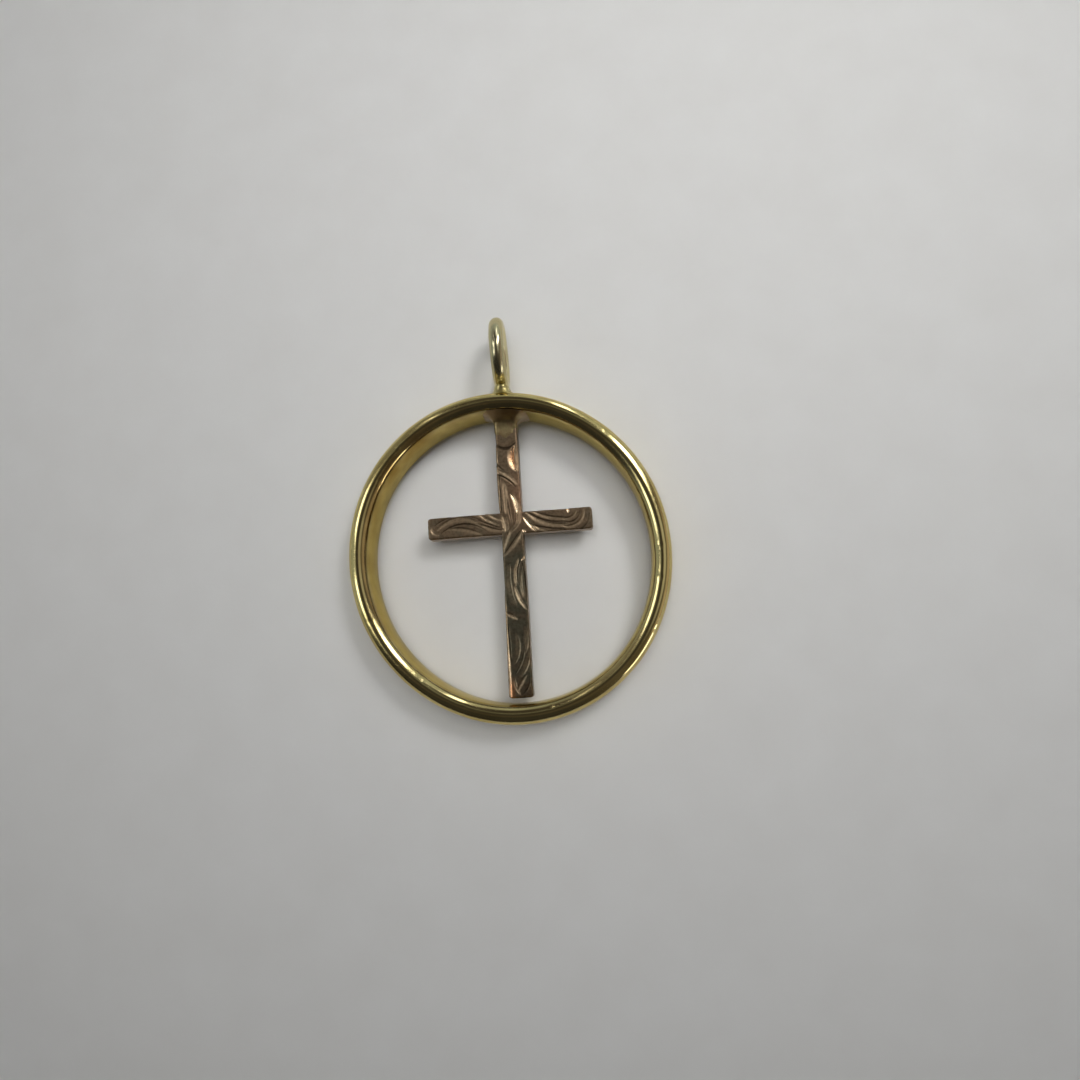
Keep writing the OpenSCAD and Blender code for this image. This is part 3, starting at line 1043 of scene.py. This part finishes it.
@dataclass
class Cross:
    """The engraved cross: two flat bars in one piece, and the solder that holds its top in the hoop.

    Places on the bars are u across the upright and v along it, from the crossing.
    """

    hoop: Hoop
    finish: WornRoseGold
    solder: RunSolder
    wide: float = 1.43
    thick: float = 1.0
    arm_left: float = 5.54
    arm_right: float = 5.26
    crossing_x: float = 0.23
    crossing_y: float = 2.15
    turn: float = math.radians(0.7)
    foot_daylight: float = 0.33
    head_gap: float = 0.15
    edge: float = 0.11
    corner: float = 0.2
    cell: float = 0.04
    side_rows: int = 8
    # The slope rubbed along the upright's left edge, and the burr that it pushed out beside it.
    rub_wide: float = 0.18
    rub_long: float = 7.0
    rub_slope: float = 0.42
    # Above the arms the slope is narrower and shorter.
    rub_high: float = 0.6
    rub_high_v: float = 3.0
    rub_high_long: float = 2.3
    burr: float = 0.13
    burr_from: float = 0.3
    # How far the arms' strokes run in over the upright, and how fast a stroke takes its full tone.
    overlap: float = 0.06
    tone_gain: float = 2.4
    # Heights and pitches of the sheet's unevenness, on its face, on its back and along its sides.
    uneven: float = 0.012
    face_pitch: float = 1.1
    back_pitch: float = 1.4
    wander: float = 0.03
    wander_pitch: float = 4.0
    # The solder's reach over the wall to either side and up and down, and its length down the upright.
    wing: float = 0.75
    crown: float = 1.0
    tongue: float = 1.6
    # How far it stands proud of the bars, its skin at the tip, and how far it is sunk in the wall.
    proud: float = 0.045
    skin: float = 0.012
    sunk: float = 0.02
    # Heights of its lumps, on the face and at the sides, and the depth of the recess in its middle.
    lumps: float = 0.035
    side_lumps: float = 0.02
    recess: float = 0.03
    lump_pitch: float = 0.5

    @property
    def half(self) -> float:
        """Half the width of a bar."""
        return self.wide / 2

    @property
    def foot(self) -> float:
        """End of the upright, below the crossing."""
        return -(self.hoop.inside + self.crossing_y - self.foot_daylight)

    @property
    def seat(self) -> float:
        """The hoop's inner wall, above the crossing."""
        return self.hoop.inside - self.crossing_y

    @property
    def head(self) -> float:
        """Top of the upright, which ends a little short of the hoop inside the solder."""
        return self.seat - self.head_gap

    def edge_lines(self) -> np.ndarray:
        """Distances from an edge at which grid lines follow its worn rounding, every 15 degrees of it."""
        return self.edge * (1 - np.sin(np.radians(np.arange(90, -1, -15))))

    def lines(self, start: float, end: float, open_start: bool) -> np.ndarray:
        """Places grid lines along a bar, close together where its end is rounded.

        Args:
            start: Where the lines start.
            end: The bar's end.
            open_start: True where the lines go on from others at the start.

        Returns:
            The places, from start to end.
        """
        rounding = self.edge_lines()
        sign = math.copysign(1, end - start)
        low = start if open_start else start + sign * self.edge
        high = end - sign * self.edge
        count = max(2, round(abs(high - low) / self.cell))
        middle = np.linspace(low, high, count + 1)
        first = middle if open_start else np.concatenate([start + sign * rounding[:-1], middle])
        return np.concatenate([first, (end - sign * rounding[:-1])[::-1]])

    def grid(self) -> tuple[np.ndarray, np.ndarray, np.ndarray]:
        """Lays out the grid of the face, with lines shared by both bars at the crossing.

        Returns:
            Places of its lines across, places of its lines along, and which cells are metal.
        """
        bar = self.lines(-self.half, self.half, open_start=False)
        left = self.lines(-self.half, -self.arm_left, open_start=True)[::-1]
        right = self.lines(self.half, self.arm_right, open_start=True)
        down = self.lines(-self.half, self.foot, open_start=True)[::-1]
        up = self.lines(self.half, self.head, open_start=True)
        across = np.concatenate([left[:-1], bar, right[1:]])
        along = np.concatenate([down[:-1], bar, up[1:]])
        mid_u, mid_v = (across[1:] + across[:-1]) / 2, (along[1:] + along[:-1]) / 2
        metal = (np.abs(mid_u) < self.half)[:, None] | (np.abs(mid_v) < self.half)[None, :]
        return across, along, metal

    def round_corners(self, u: np.ndarray, v: np.ndarray) -> tuple[np.ndarray, np.ndarray, np.ndarray]:
        """Rounds the outer corners in plan and measures how far each place is from the outline.

        Args:
            u: Places across the upright.
            v: Places along the upright.

        Returns:
            The moved places, and their distance from the cross's outline.
        """
        in_upright = np.abs(u) <= self.half + TINY
        in_arms = np.abs(v) <= self.half + TINY
        right_end = np.where(u > 0, self.arm_right, self.arm_left)
        top_end = np.where(v > 0, self.head, -self.foot)
        limit_u = np.where(in_upright & ~in_arms, self.half, right_end)
        limit_v = np.where(in_arms & ~in_upright, self.half, top_end)
        gap_u, gap_v = limit_u - np.abs(u), limit_v - np.abs(v)
        inner = np.hypot(self.half - np.abs(u), self.half - np.abs(v))
        distance = np.where(in_upright & in_arms, inner, np.minimum(gap_u, gap_v))
        zone = (gap_u < self.corner) & (gap_v < self.corner) & ~(in_upright & in_arms)
        a, b = ramp(gap_u, self.corner, 0), ramp(gap_v, self.corner, 0)
        round_a, round_b = a * np.sqrt(1 - b * b / 2), b * np.sqrt(1 - a * a / 2)
        moved_u = np.where(zone, np.sign(u) * (np.abs(u) + (round_a - a) * self.corner), u)
        moved_v = np.where(zone, np.sign(v) * (np.abs(v) + (round_b - b) * self.corner), v)
        distance = np.where(zone, self.corner * (1 - np.hypot(round_a, round_b)), distance)
        return moved_u, moved_v, np.maximum(distance, 0)

    def edge_drop(self, distance: np.ndarray) -> np.ndarray:
        """Gives the fall of the worn rounding at a distance from the outline."""
        inward = np.clip(self.edge - distance, 0, self.edge)
        return self.edge - np.sqrt(self.edge**2 - inward**2)

    def engraving(self, u: np.ndarray, v: np.ndarray) -> tuple[np.ndarray, np.ndarray]:
        """Cuts the scrolls of the face, each looked at four times a point so that its edges are soft.

        Args:
            u: Places across the upright.
            v: Places along the upright.

        Returns:
            The depth cut away at each place, and the tone painted there, partly bare cut metal and partly
            painted highlight.
        """
        on_arms = np.abs(u) > self.half - self.overlap
        on_upright = ~on_arms | (np.abs(v) > self.half)
        depth, tone = np.zeros_like(u), np.zeros_like(u)
        step = self.cell / 4
        nudges = [(a, b) for a in (-step, step) for b in (-step, step)]
        for area, cuts in ((on_arms, ARM_CUTS), (on_upright, UPRIGHT_CUTS)):
            for cut in cuts:
                looks = [cut.share(u + a, v + b) for a, b in nudges]
                share = np.where(area, sum(look[0] for look in looks) / len(looks), 0)
                depth = np.maximum(depth, cut.deep * share * looks[0][1])
                cover = np.clip(self.tone_gain * share, 0, 1)
                tone = tone * (1 - cover) + cut.tone * cover
        return depth, tone

    def rubbed_share(self, v: np.ndarray) -> np.ndarray:
        """Gives how wide the upright's left edge is rubbed, most at its foot and again above the arms.

        Args:
            v: Places along the upright.

        Returns:
            The share of the full width at each place.
        """
        low = ramp(v, self.foot + self.rub_long, self.foot) ** 0.5
        high = self.rub_high * ramp(np.abs(v - self.rub_high_v), self.rub_high_long, 0) ** 0.4
        return np.maximum(low, high)

    def rub(self, u: np.ndarray, v: np.ndarray) -> np.ndarray:
        """Gives the depth of the slope rubbed along the upright's left edge, widest at its foot."""
        line = -self.half + self.rub_wide * self.rubbed_share(v)
        return self.rub_slope * np.where(np.abs(u) <= self.half + TINY, np.maximum(line - u, 0), 0)

    def bars(self) -> bpy.types.Mesh:
        """Builds both bars as one closed shell: the cut face, the plain back and the sides between.

        Returns:
            The mesh, with its wear marked for the finish.
        """
        across, along, metal = self.grid()
        used = np.zeros((len(across), len(along)), bool)
        for du in (0, 1):
            for dv in (0, 1):
                used[du : du + metal.shape[0], dv : dv + metal.shape[1]] |= metal
        number = np.cumsum(used.ravel()).reshape(used.shape) - 1
        i, j = np.nonzero(used)
        u, v, distance = self.round_corners(across[i], along[j])
        depth, tone = self.engraving(u, v)
        flat = np.stack([u, v, np.zeros_like(u)], axis=1)
        worn = np.maximum(self.edge_drop(distance), self.rub(u, v))
        top = self.thick / 2 - worn - depth + self.uneven * unevenness(flat, self.face_pitch)
        behind = self.uneven * unevenness(flat + BACK_SHIFT, self.back_pitch)
        back = self.edge_drop(distance) + behind - self.thick / 2
        points, quads = self.wrap(metal, number, np.stack([u, v, top], 1), np.stack([u, v, back], 1))
        points[:, 0] -= self.burr_push(points)
        sideways = [unevenness(points + SIDE_SHIFT * k, self.wander_pitch, 1) for k in (1, 2)]
        points[:, :2] += self.wander * np.stack(sideways, axis=1)
        mesh = shell("cross_bars", points, quads, [])
        self.mark(mesh, points, np.concatenate([tone, np.zeros(len(points) - len(u))]))
        return mesh

    def wrap(
        self, metal: np.ndarray, number: np.ndarray, top: np.ndarray, back: np.ndarray
    ) -> tuple[np.ndarray, np.ndarray]:
        """Closes the face and the back into one shell, with rows of faces down the sides.

        Args:
            metal: Which cells are metal.
            number: Vertex number of each grid point.
            top: Points of the face.
            back: Points of the back.

        Returns:
            The shell's points, and one row of four vertex numbers for each face.
        """
        count, rows = len(top), self.side_rows
        i, j = np.nonzero(metal)
        corners = [number[i, j], number[i + 1, j], number[i + 1, j + 1], number[i, j + 1]]
        face = np.stack(corners, axis=1)
        rim = self.rim_edges(metal, number)
        on_rim = np.unique(rim)
        rank = np.full(count, -1)
        rank[on_rim] = np.arange(len(on_rim))
        rings = [top[on_rim] + (back[on_rim] - top[on_rim]) * k / rows for k in range(1, rows)]
        levels = [rim, *(rank[rim] + 2 * count + k * len(on_rim) for k in range(rows - 1)), rim + count]
        quads = [face, face[:, ::-1] + count]
        for upper, lower in zip(levels, levels[1:]):
            quads.append(np.stack([upper[:, 1], upper[:, 0], lower[:, 0], lower[:, 1]], axis=1))
        return np.concatenate([top, back, *rings]), np.concatenate(quads)

    def burr_push(self, points: np.ndarray) -> np.ndarray:
        """Gives how far the burr stands out to the left along the upright's rubbed edge.

        Args:
            points: The bars' points.

        Returns:
            The burr's width at each one.
        """
        u, v = points[:, 0], points[:, 1]
        share = ramp(u, -self.burr_from, -self.half) * (u > -self.half - 0.01) * (np.abs(v) > self.half)
        return self.burr * share * self.rubbed_share(v)

    def rim_edges(self, metal: np.ndarray, number: np.ndarray) -> np.ndarray:
        """Lists the edges of the face that have metal on one side only, with the metal on their left.

        Args:
            metal: Which cells are metal.
            number: Vertex number of each grid point.

        Returns:
            One row of two vertex numbers for each edge.
        """
        padded = np.pad(metal, 1)
        inner = padded[1:-1, 1:-1]
        walls = (
            (padded[1:-1, :-2], (0, 0), (1, 0)),
            (padded[2:, 1:-1], (1, 0), (1, 1)),
            (padded[1:-1, 2:], (1, 1), (0, 1)),
            (padded[:-2, 1:-1], (0, 1), (0, 0)),
        )
        found = []
        for neighbour, start, end in walls:
            i, j = np.nonzero(inner & ~neighbour)
            pair = [number[i + start[0], j + start[1]], number[i + end[0], j + end[1]]]
            found.append(np.stack(pair, axis=1))
        return np.concatenate(found)

    def mark(self, mesh: bpy.types.Mesh, points: np.ndarray, tone: np.ndarray) -> None:
        """Stores on the mesh how tarnished, rosy, polished or painted with highlight, coppery and dirty
        each place is.

        Args:
            mesh: The bars.
            points: Their points.
            tone: How bright or dirty the cuts make each one, the brightness partly painted highlight.
        """
        u, v = points[:, 0], points[:, 1]
        upright = np.abs(u) < self.half
        # The upright is darkest below the arms and rosy at the crossing, most of all on its right.
        below_arms = ramp(v, 0.4, -2.2)
        dark = 0.9 * below_arms * np.clip((v - self.foot) / 1.5, 0.5, 1)
        warm = 0.8 * ramp(np.abs(v - 1.6), 2.2, 0) * ramp(u, -0.3, 0.4)
        # Its foot is dirty at the right and rubbed to bare copper at the left.
        grimy_toe = 0.35 * ramp(v, self.foot + 1.6, self.foot + 0.7) * ramp(u, -0.35, -0.05)
        bare_toe = 0.75 * ramp(v, self.foot + 1.5, self.foot + 0.7) * ramp(u, -0.35, -0.6)
        # The long facet under the solder: its middle, half its width and half its length.
        facet = 0.9 * np.clip(1.6 - 1.6 * np.hypot((u - 0.42) / 0.45, (v - 4.3) / 1.0), 0, 1)
        rubbed = 0.7 * ramp(self.rub(u, v), 0, 0.03) * (points[:, 2] > 0)
        # The mark of bare, pale metal below is partly painted highlight: it lies where the cuts glint and
        # catch light bands, as well as on the rubbed edge. The facet's copper follows the same painted
        # highlight.
        marks = {
            "tarnish": np.where(upright, dark, 0.1),
            "rose": np.where(upright, warm, 0),
            "polish_and_highlight": np.clip(np.maximum(tone, rubbed), 0, 1),
            "copper": np.where(upright, np.maximum(facet * np.clip(tone, 0, 1), bare_toe), 0),
            "dirt": np.clip(np.where(upright, grimy_toe, 0) - tone, 0, 1),
        }
        store(mesh, marks)

    def solder_head(self) -> bpy.types.Mesh:
        """Builds the solder round the upright's top, which runs out in a hollow over the hoop's wall.

        Returns:
            The mesh, in the hoop's own millimetres.
        """
        steps, around = 64, 120
        depth = np.concatenate([[0.0], self.tongue * np.linspace(0, 1, steps) ** 1.5])
        share = depth / self.tongue
        # It spreads over the wall within a millimetre, and thins out to its skin and less at the tip.
        wings = self.wing * ramp(depth, 0.9, 0) ** 3.2
        crowns = self.crown * ramp(depth, 1.0, 0) ** 3
        stands = self.proud * (1 - share**2) + self.skin - self.proud * ramp(share, 0.75, 1)
        # It is nearly as square as the bars farther down, and rounder where it meets the wall.
        powers = 4.0 + 3.0 * ramp(depth, 0, 0.8)
        angle = np.linspace(0, FULL_TURN, around, endpoint=False)
        rings = []
        for down, wing, crown, stand, power in zip(depth, wings, crowns, stands, powers):
            x, z = squared_ring(angle, power)
            half_wide, half_thick = self.half + stand + wing, self.thick / 2 + stand + crown
            rings.append(np.stack([half_wide * x, np.full(around, down), half_thick * z], axis=1))
        points = np.concatenate(rings)
        x, down, z = points.T.copy()
        # The tip ends in a tongue, left of the middle. The recess leans left as it runs down.
        tip = (0.35 - 0.6 * np.abs(x + 0.12) / self.half) * (down / self.tongue) ** 2
        groove = ramp(np.abs(x - 0.08 + 0.25 * down), 0.2, 0)
        groove = groove * groove * (3 - 2 * groove) * ramp(np.abs(down - 0.45), 0.6, 0) * (z > 0)
        lumps = unevenness(points, self.lump_pitch) * ramp(down, 0, 0.2)
        points[:, 0] += np.sign(x) * self.side_lumps * lumps
        points[:, 2] += np.sign(z) * self.lumps * lumps - self.recess * groove
        wall = self.hoop.wall_y(points[:, 0] + self.crossing_x, points[:, 2], outer=False)
        points[:, 1] = wall + self.sunk - down - tip
        aside = self.crossing_x - math.sin(self.turn) * self.seat
        points[:, 0] += aside
        top = self.hoop.inside + 0.2
        ends = [[aside, top, 0], [aside, top - self.tongue, 0]]
        mesh = tube("solder_head", points, around, ends, flip=True)
        store(mesh, {"fringe": np.append(ramp(down, 0.6, 0), (1, 0))})
        return mesh

    def build(self, pose: RestPose) -> list[bpy.types.Object]:
        """Builds the cross and its solder where they rest.

        Args:
            pose: Where the pendant lies.

        Returns:
            The cross's pieces.
        """
        bars, head = self.bars(), self.solder_head()
        bars.materials.append(self.finish.material())
        head.materials.append(self.solder.material())
        crossing = Matrix.Translation((self.crossing_x, self.crossing_y, 0))
        turned = pose.matrix() @ crossing @ Matrix.Rotation(self.turn, 4, "Z")
        return [
            place("cross_bars", bars, turned, Part.CROSS),
            place("solder_head", head, pose.matrix(), Part.CROSS),
        ]


@dataclass
class Bail:
    """The bail: a ring of round wire that stands across the hoop, on a foot of solder."""

    hoop: Hoop
    finish: PolishedGold
    solder: RunSolder
    wire: float = 0.95
    eye: float = 3.06
    foot_high: float = 0.46
    lean: float = math.radians(1.8)
    twist: float = math.radians(2)
    steps_round: int = 260
    steps_across: int = 72
    wobble: float = 0.03
    wobble_pitch: float = 1.6
    # The solder's radius where it runs out over the hoop, how far it climbs the wire and how far it is
    # sunk in the wall.
    hollow: float = 0.8
    climb: float = 0.36
    sunk: float = 0.02
    # The share by which its lumps swell it, and their distance.
    lumps: float = 0.03
    lump_pitch: float = 0.6

    @property
    def loop_radius(self) -> float:
        """Radius of the ring, to the wire's middle."""
        return (self.eye + self.wire) / 2

    @property
    def loop_y(self) -> float:
        """Middle of the ring, above the hoop's centre."""
        return self.hoop.outside + self.foot_high + self.wire / 2 + self.loop_radius

    def leaning(self) -> Matrix:
        """Leans the bail to the left about its foot, with a slight twist of its ring.

        Returns:
            The turn, in the hoop's own millimetres.
        """
        foot = Matrix.Translation((0, self.hoop.outside, 0))
        turned = Matrix.Rotation(self.lean, 4, "Z") @ Matrix.Rotation(self.twist, 4, "Y")
        return foot @ turned @ foot.inverted()

    def ring(self) -> bpy.types.Mesh:
        """Bends round wire into the ring.

        Returns:
            The mesh, in the hoop's own millimetres but not yet leaning.
        """
        named = {
            "Ring radius": self.loop_radius,
            "Wire radius": self.wire / 2,
            "Steps round": self.steps_round,
            "Steps across": self.steps_across,
            "Unevenness": self.wobble,
            "Unevenness pitch": self.wobble_pitch,
        }
        rule = SizedTree("Wire ring", named, self.finish.material())
        path, section = (
            rule.add(
                "GeometryNodeCurvePrimitiveCircle",
                {"Resolution": rule.sizes[steps], "Radius": rule.sizes[radius]},
            ).outputs["Curve"]
            for steps, radius in (("Steps round", "Ring radius"), ("Steps across", "Wire radius"))
        )
        bent = rule.add("GeometryNodeCurveToMesh", {"Curve": path, "Profile Curve": section})
        mesh = rule.grow(rule.waver(bent))
        mesh.transform(Matrix.Translation((0, self.loop_y, 0)) @ Matrix.Rotation(math.pi / 2, 4, "Y"))
        return mesh

    def solder_foot(self) -> bpy.types.Mesh:
        """Builds the solder under the ring: a short neck, hollow towards the hoop and along the wire.

        Returns:
            The mesh, in the hoop's own millimetres but not yet leaning.
        """
        steps, around, power = 48, 96, 2.6
        height = np.linspace(0, 1, steps) ** 1.2 * (self.foot_high + self.climb)
        share = height / height[-1]
        flare = self.hollow - np.sqrt(self.hollow**2 - np.clip(self.hollow - height, 0, self.hollow) ** 2)
        # Half its width across the bail and half its length along it, which shrink to the wire at the top.
        taper = ramp(share, 0.6, 1) ** 2
        aside = 0.5 - 0.02 * share + flare - 0.09 * taper
        along = 0.85 + 0.25 * share**2 + 0.45 * flare - 0.25 * taper
        x, z = squared_ring(np.linspace(0, FULL_TURN, around, endpoint=False), power)
        rings = [
            np.stack([a * x, np.full(around, h), b * z], axis=1) for h, a, b in zip(height, aside, along)
        ]
        points = np.concatenate(rings)
        swelling = 1 + self.lumps * unevenness(points, self.lump_pitch)
        points[:, 0] *= swelling
        points[:, 2] *= swelling
        points[:, 1] += self.hoop.wall_y(points[:, 0], points[:, 2], outer=True) - self.sunk
        neck = self.foot_high + self.wire / 2
        ends = [[0, self.hoop.outside - 0.2, 0], [0, self.hoop.outside + neck, 0]]
        return tube("solder_foot", points, around, ends, flip=False)

    def build(self, pose: RestPose) -> list[bpy.types.Object]:
        """Builds the bail and its solder where they rest.

        Args:
            pose: Where the pendant lies.

        Returns:
            The bail's pieces.
        """
        ring, foot = self.ring(), self.solder_foot()
        foot.materials.append(self.solder.material())
        leaning = pose.matrix() @ self.leaning()
        return [
            place("bail_ring", ring, leaning, Part.BAIL),
            place("solder_foot", foot, leaning, Part.BAIL),
        ]


def rest_pose(hoop: Hoop, bail: Bail) -> RestPose:
    """Works out how the pendant lies: on the bail's round outside and on the hoop's far rim.

    Args:
        hoop: The hoop.
        bail: The bail.

    Returns:
        The pose.
    """
    span, drop = bail.loop_y + hoop.reach, hoop.rim_offset
    loop_out = bail.loop_radius + bail.wire / 2
    tilt = math.asin((loop_out - hoop.rim_radius) / math.hypot(span, drop)) - math.atan2(drop, span)
    y = (hoop.outside - bail.loop_y * math.cos(tilt) - loop_out) / 2
    return RestPose(tilt, y, loop_out - bail.loop_y * math.sin(tilt))


class Reach(Enum):
    """What a lamp acts on: only what mirrors it, or only the matt surfaces that it lights."""

    MIRRORS = (False, True)
    MATT = (True, False)


def direction(bearing: float, elevation: float) -> Vector:
    """Gives the way to a spot of the room.

    Args:
        bearing: Degrees clockwise from the bail's direction.
        elevation: Degrees above the floor.

    Returns:
        A vector of length one.
    """
    turn, up = math.radians(bearing), math.radians(elevation)
    return Vector((math.sin(turn) * math.cos(up), math.cos(turn) * math.cos(up), math.sin(up)))


@dataclass(frozen=True)
class Lamp:
    """A soft lamp, placed by its bearing, its elevation and its distance in metres.

    Its width and height are in metres and its power in watts. Its hood is the full angle of the light
    that it lets out, in degrees, and its aim a place of the floor in millimetres.
    """

    name: str
    bearing: float
    elevation: float
    distance: float
    width: float
    height: float
    power: float
    reach: Reach
    hood: float = 180.0
    aim: tuple[float, float] = (0.0, 0.0)

    def hang(self) -> None:
        """Hangs the lamp so that it looks where it aims."""
        light = bpy.data.lights.new(self.name, "AREA")
        light.shape = "RECTANGLE"
        light.size, light.size_y = self.width, self.height
        light.energy = self.power
        light.spread = math.radians(self.hood)
        lamp = put(self.name, light)
        lamp.location = direction(self.bearing, self.elevation) * self.distance
        look = Vector((*self.aim, 0)) * MM - lamp.location
        lamp.rotation_euler = look.to_track_quat("-Z", "Y").to_euler()
        lamp.visible_diffuse, lamp.visible_glossy = self.reach.value


@dataclass(frozen=True)
class Patch:
    """A round patch of the room in one colour, placed by bearing and elevation, with a soft border.

    Its reach is the angle from its middle to the middle of its border, and its blur half the border.
    """

    bearing: float
    elevation: float
    reach: float
    blur: float
    colour: str

    def mask(self, tree: bpy.types.NodeTree, way: bpy.types.NodeSocket) -> bpy.types.Node:
        """Adds the nodes that are one inside the patch and zero outside.

        Args:
            tree: The world's tree.
            way: The direction looked in.

        Returns:
            The last node.
        """
        middle = direction(self.bearing, self.elevation)
        near = add_node(tree, "ShaderNodeVectorMath", {0: way, 1: middle}, operation="DOT_PRODUCT")
        inner, outer = (math.cos(math.radians(self.reach + side * self.blur)) for side in (-1, 1))
        limits = {"Value": near.outputs["Value"], "From Min": outer, "From Max": inner}
        return add_node(tree, "ShaderNodeMapRange", limits, interpolation_type="SMOOTHSTEP")


LAMPS = (
    Lamp("key", 50, 58, 0.185, 0.050, 0.050, 0.011, Reach.MATT, hood=58, aim=(13, 36)),
    Lamp("soft_key", 45, 66, 0.26, 0.16, 0.16, 0.017, Reach.MATT, hood=50, aim=(15, 35)),
    Lamp("fill_west", 266, 38, 0.30, 0.10, 0.10, 0.03, Reach.MATT),
    Lamp("ceiling", 10, 82, 0.30, 0.20, 0.20, 0.036, Reach.MATT, hood=40, aim=(18, 40)),
    Lamp("sky", 0, 90, 1.0, 1.6, 1.6, 0.8, Reach.MATT),
    Lamp("window_north_east", 43.5, 47, 0.5, 0.090, 0.30, 0.72, Reach.MIRRORS),
    Lamp("window_east", 54, 40, 0.5, 0.025, 0.26, 0.07, Reach.MIRRORS),
    Lamp("window_north", 16, 31, 0.5, 0.055, 0.24, 0.12, Reach.MIRRORS),
    Lamp("window_north_west", 327, 50, 0.5, 0.02, 0.20, 0.02, Reach.MIRRORS),
    Lamp("window_west_high", 292, 48, 0.5, 0.09, 0.20, 0.15, Reach.MIRRORS),
    Lamp("window_west_low", 264, 48, 0.5, 0.09, 0.20, 0.15, Reach.MIRRORS),
    Lamp("window_south_east", 127, 8, 0.5, 0.20, 0.10, 0.22, Reach.MIRRORS),
)

ROOM = "#A2AAA8"
PATCHES = (
    Patch(322, 42, 22, 18, "#7C7974"),
    Patch(30, 25, 32, 14, "#B4BAB4"),
    Patch(354, 52, 18, 10, "#423E39"),
    Patch(148, 10, 90, 8, "#565049"),
    Patch(97, 2, 32, 14, "#B0A69A"),
    Patch(78, 64, 12, 8, "#B4B4AE"),
    Patch(205, 22, 46, 10, "#373633"),
    Patch(270, 83, 13, 7, "#3E3B37"),
)


@dataclass
class Studio:
    """The pale floor, the soft light and the camera, whose lens is in millimetres on a 36 mm sensor.

    The room only shows in metal. It lights no matt surface, so the lamps alone light the floor.
    """

    card: PlainCard
    camera_mm: tuple[float, float, float] = (6.653, -10.593, 59.846)
    camera_turn: tuple[float, float, float] = (8.605, 5.052, -2.874)
    lens: float = 29.89
    sensor: float = 36.0
    shift_y: float = -0.00185
    nearest: float = 1 * MM
    farthest: float = 5.0
    floor_side: float = 2.0

    def lay_floor(self) -> None:
        """Lays the floor under the pendant."""
        half = self.floor_side / 2
        corners = [(-half, -half, 0), (half, -half, 0), (half, half, 0), (-half, half, 0)]
        mesh = bpy.data.meshes.new("floor")
        mesh.from_pydata(corners, [], [(0, 1, 2, 3)])
        mesh.materials.append(self.card.material())
        put("floor", mesh)

    def light(self) -> None:
        """Surrounds the pendant with a room, bright to the north and dim to the south, and hangs lamps."""
        world = bpy.data.worlds.new("room")
        world.use_nodes = True
        bpy.context.scene.world = world
        world.cycles_visibility.diffuse = False
        tree = world.node_tree
        background = next(n for n in tree.nodes if n.type == "BACKGROUND")
        way = add_node(tree, "ShaderNodeTexCoord").outputs["Generated"]
        colour = layered(tree, ROOM, [(patch.mask(tree, way), patch.colour) for patch in PATCHES])
        tree.links.new(live_output(colour), background.inputs["Color"])
        for lamp in LAMPS:
            lamp.hang()

    def stand_camera(self) -> None:
        """Stands the camera where the photograph was taken from."""
        data = bpy.data.cameras.new("camera")
        data.sensor_width = self.sensor
        data.lens = self.lens
        data.shift_y = self.shift_y
        data.clip_start, data.clip_end = self.nearest, self.farthest
        camera = put("camera", data)
        camera.location = Vector(self.camera_mm) * MM
        camera.rotation_euler = [math.radians(a) for a in self.camera_turn]
        bpy.context.scene.camera = camera

    def build(self) -> None:
        """Sets up the whole studio."""
        self.stand_camera()
        self.lay_floor()
        self.light()
        bpy.context.scene.view_settings.view_transform = "Standard"


def main() -> None:
    """Builds the pendant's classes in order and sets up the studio."""
    logging.basicConfig(level=logging.INFO, format="%(name)s: %(message)s")
    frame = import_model()
    LOG.info("the frame holds %s", ", ".join(frame["nodes"]))
    Studio(PlainCard("uncoated pale card")).build()
    hoop = Hoop(PolishedGold("buffed 18 carat yellow gold band", film_depth=0.92))
    wire = PolishedGold(
        "buffed 9 carat pale gold wire",
        clean="#DCD3AE", hazed="#B8AE8A", edge="#EFE8CC", sheen=0.16, scratch_depth=0.0,
    )
    joint = RunSolder("run yellow gold solder", bright="#CDC28C", dark="#B0A26C", roughness=0.22)
    bail = Bail(hoop, wire, joint)
    cross = Cross(hoop, WornRoseGold("tarnished 9 carat rose gold"), RunSolder("run gold solder, pitted"))
    pose = rest_pose(hoop, bail)
    for part in (hoop, cross, bail):
        for piece in part.build(pose):
            LOG.info("%s: %d faces", piece.name, len(piece.data.polygons))


if __name__ == "__main__":
    main()
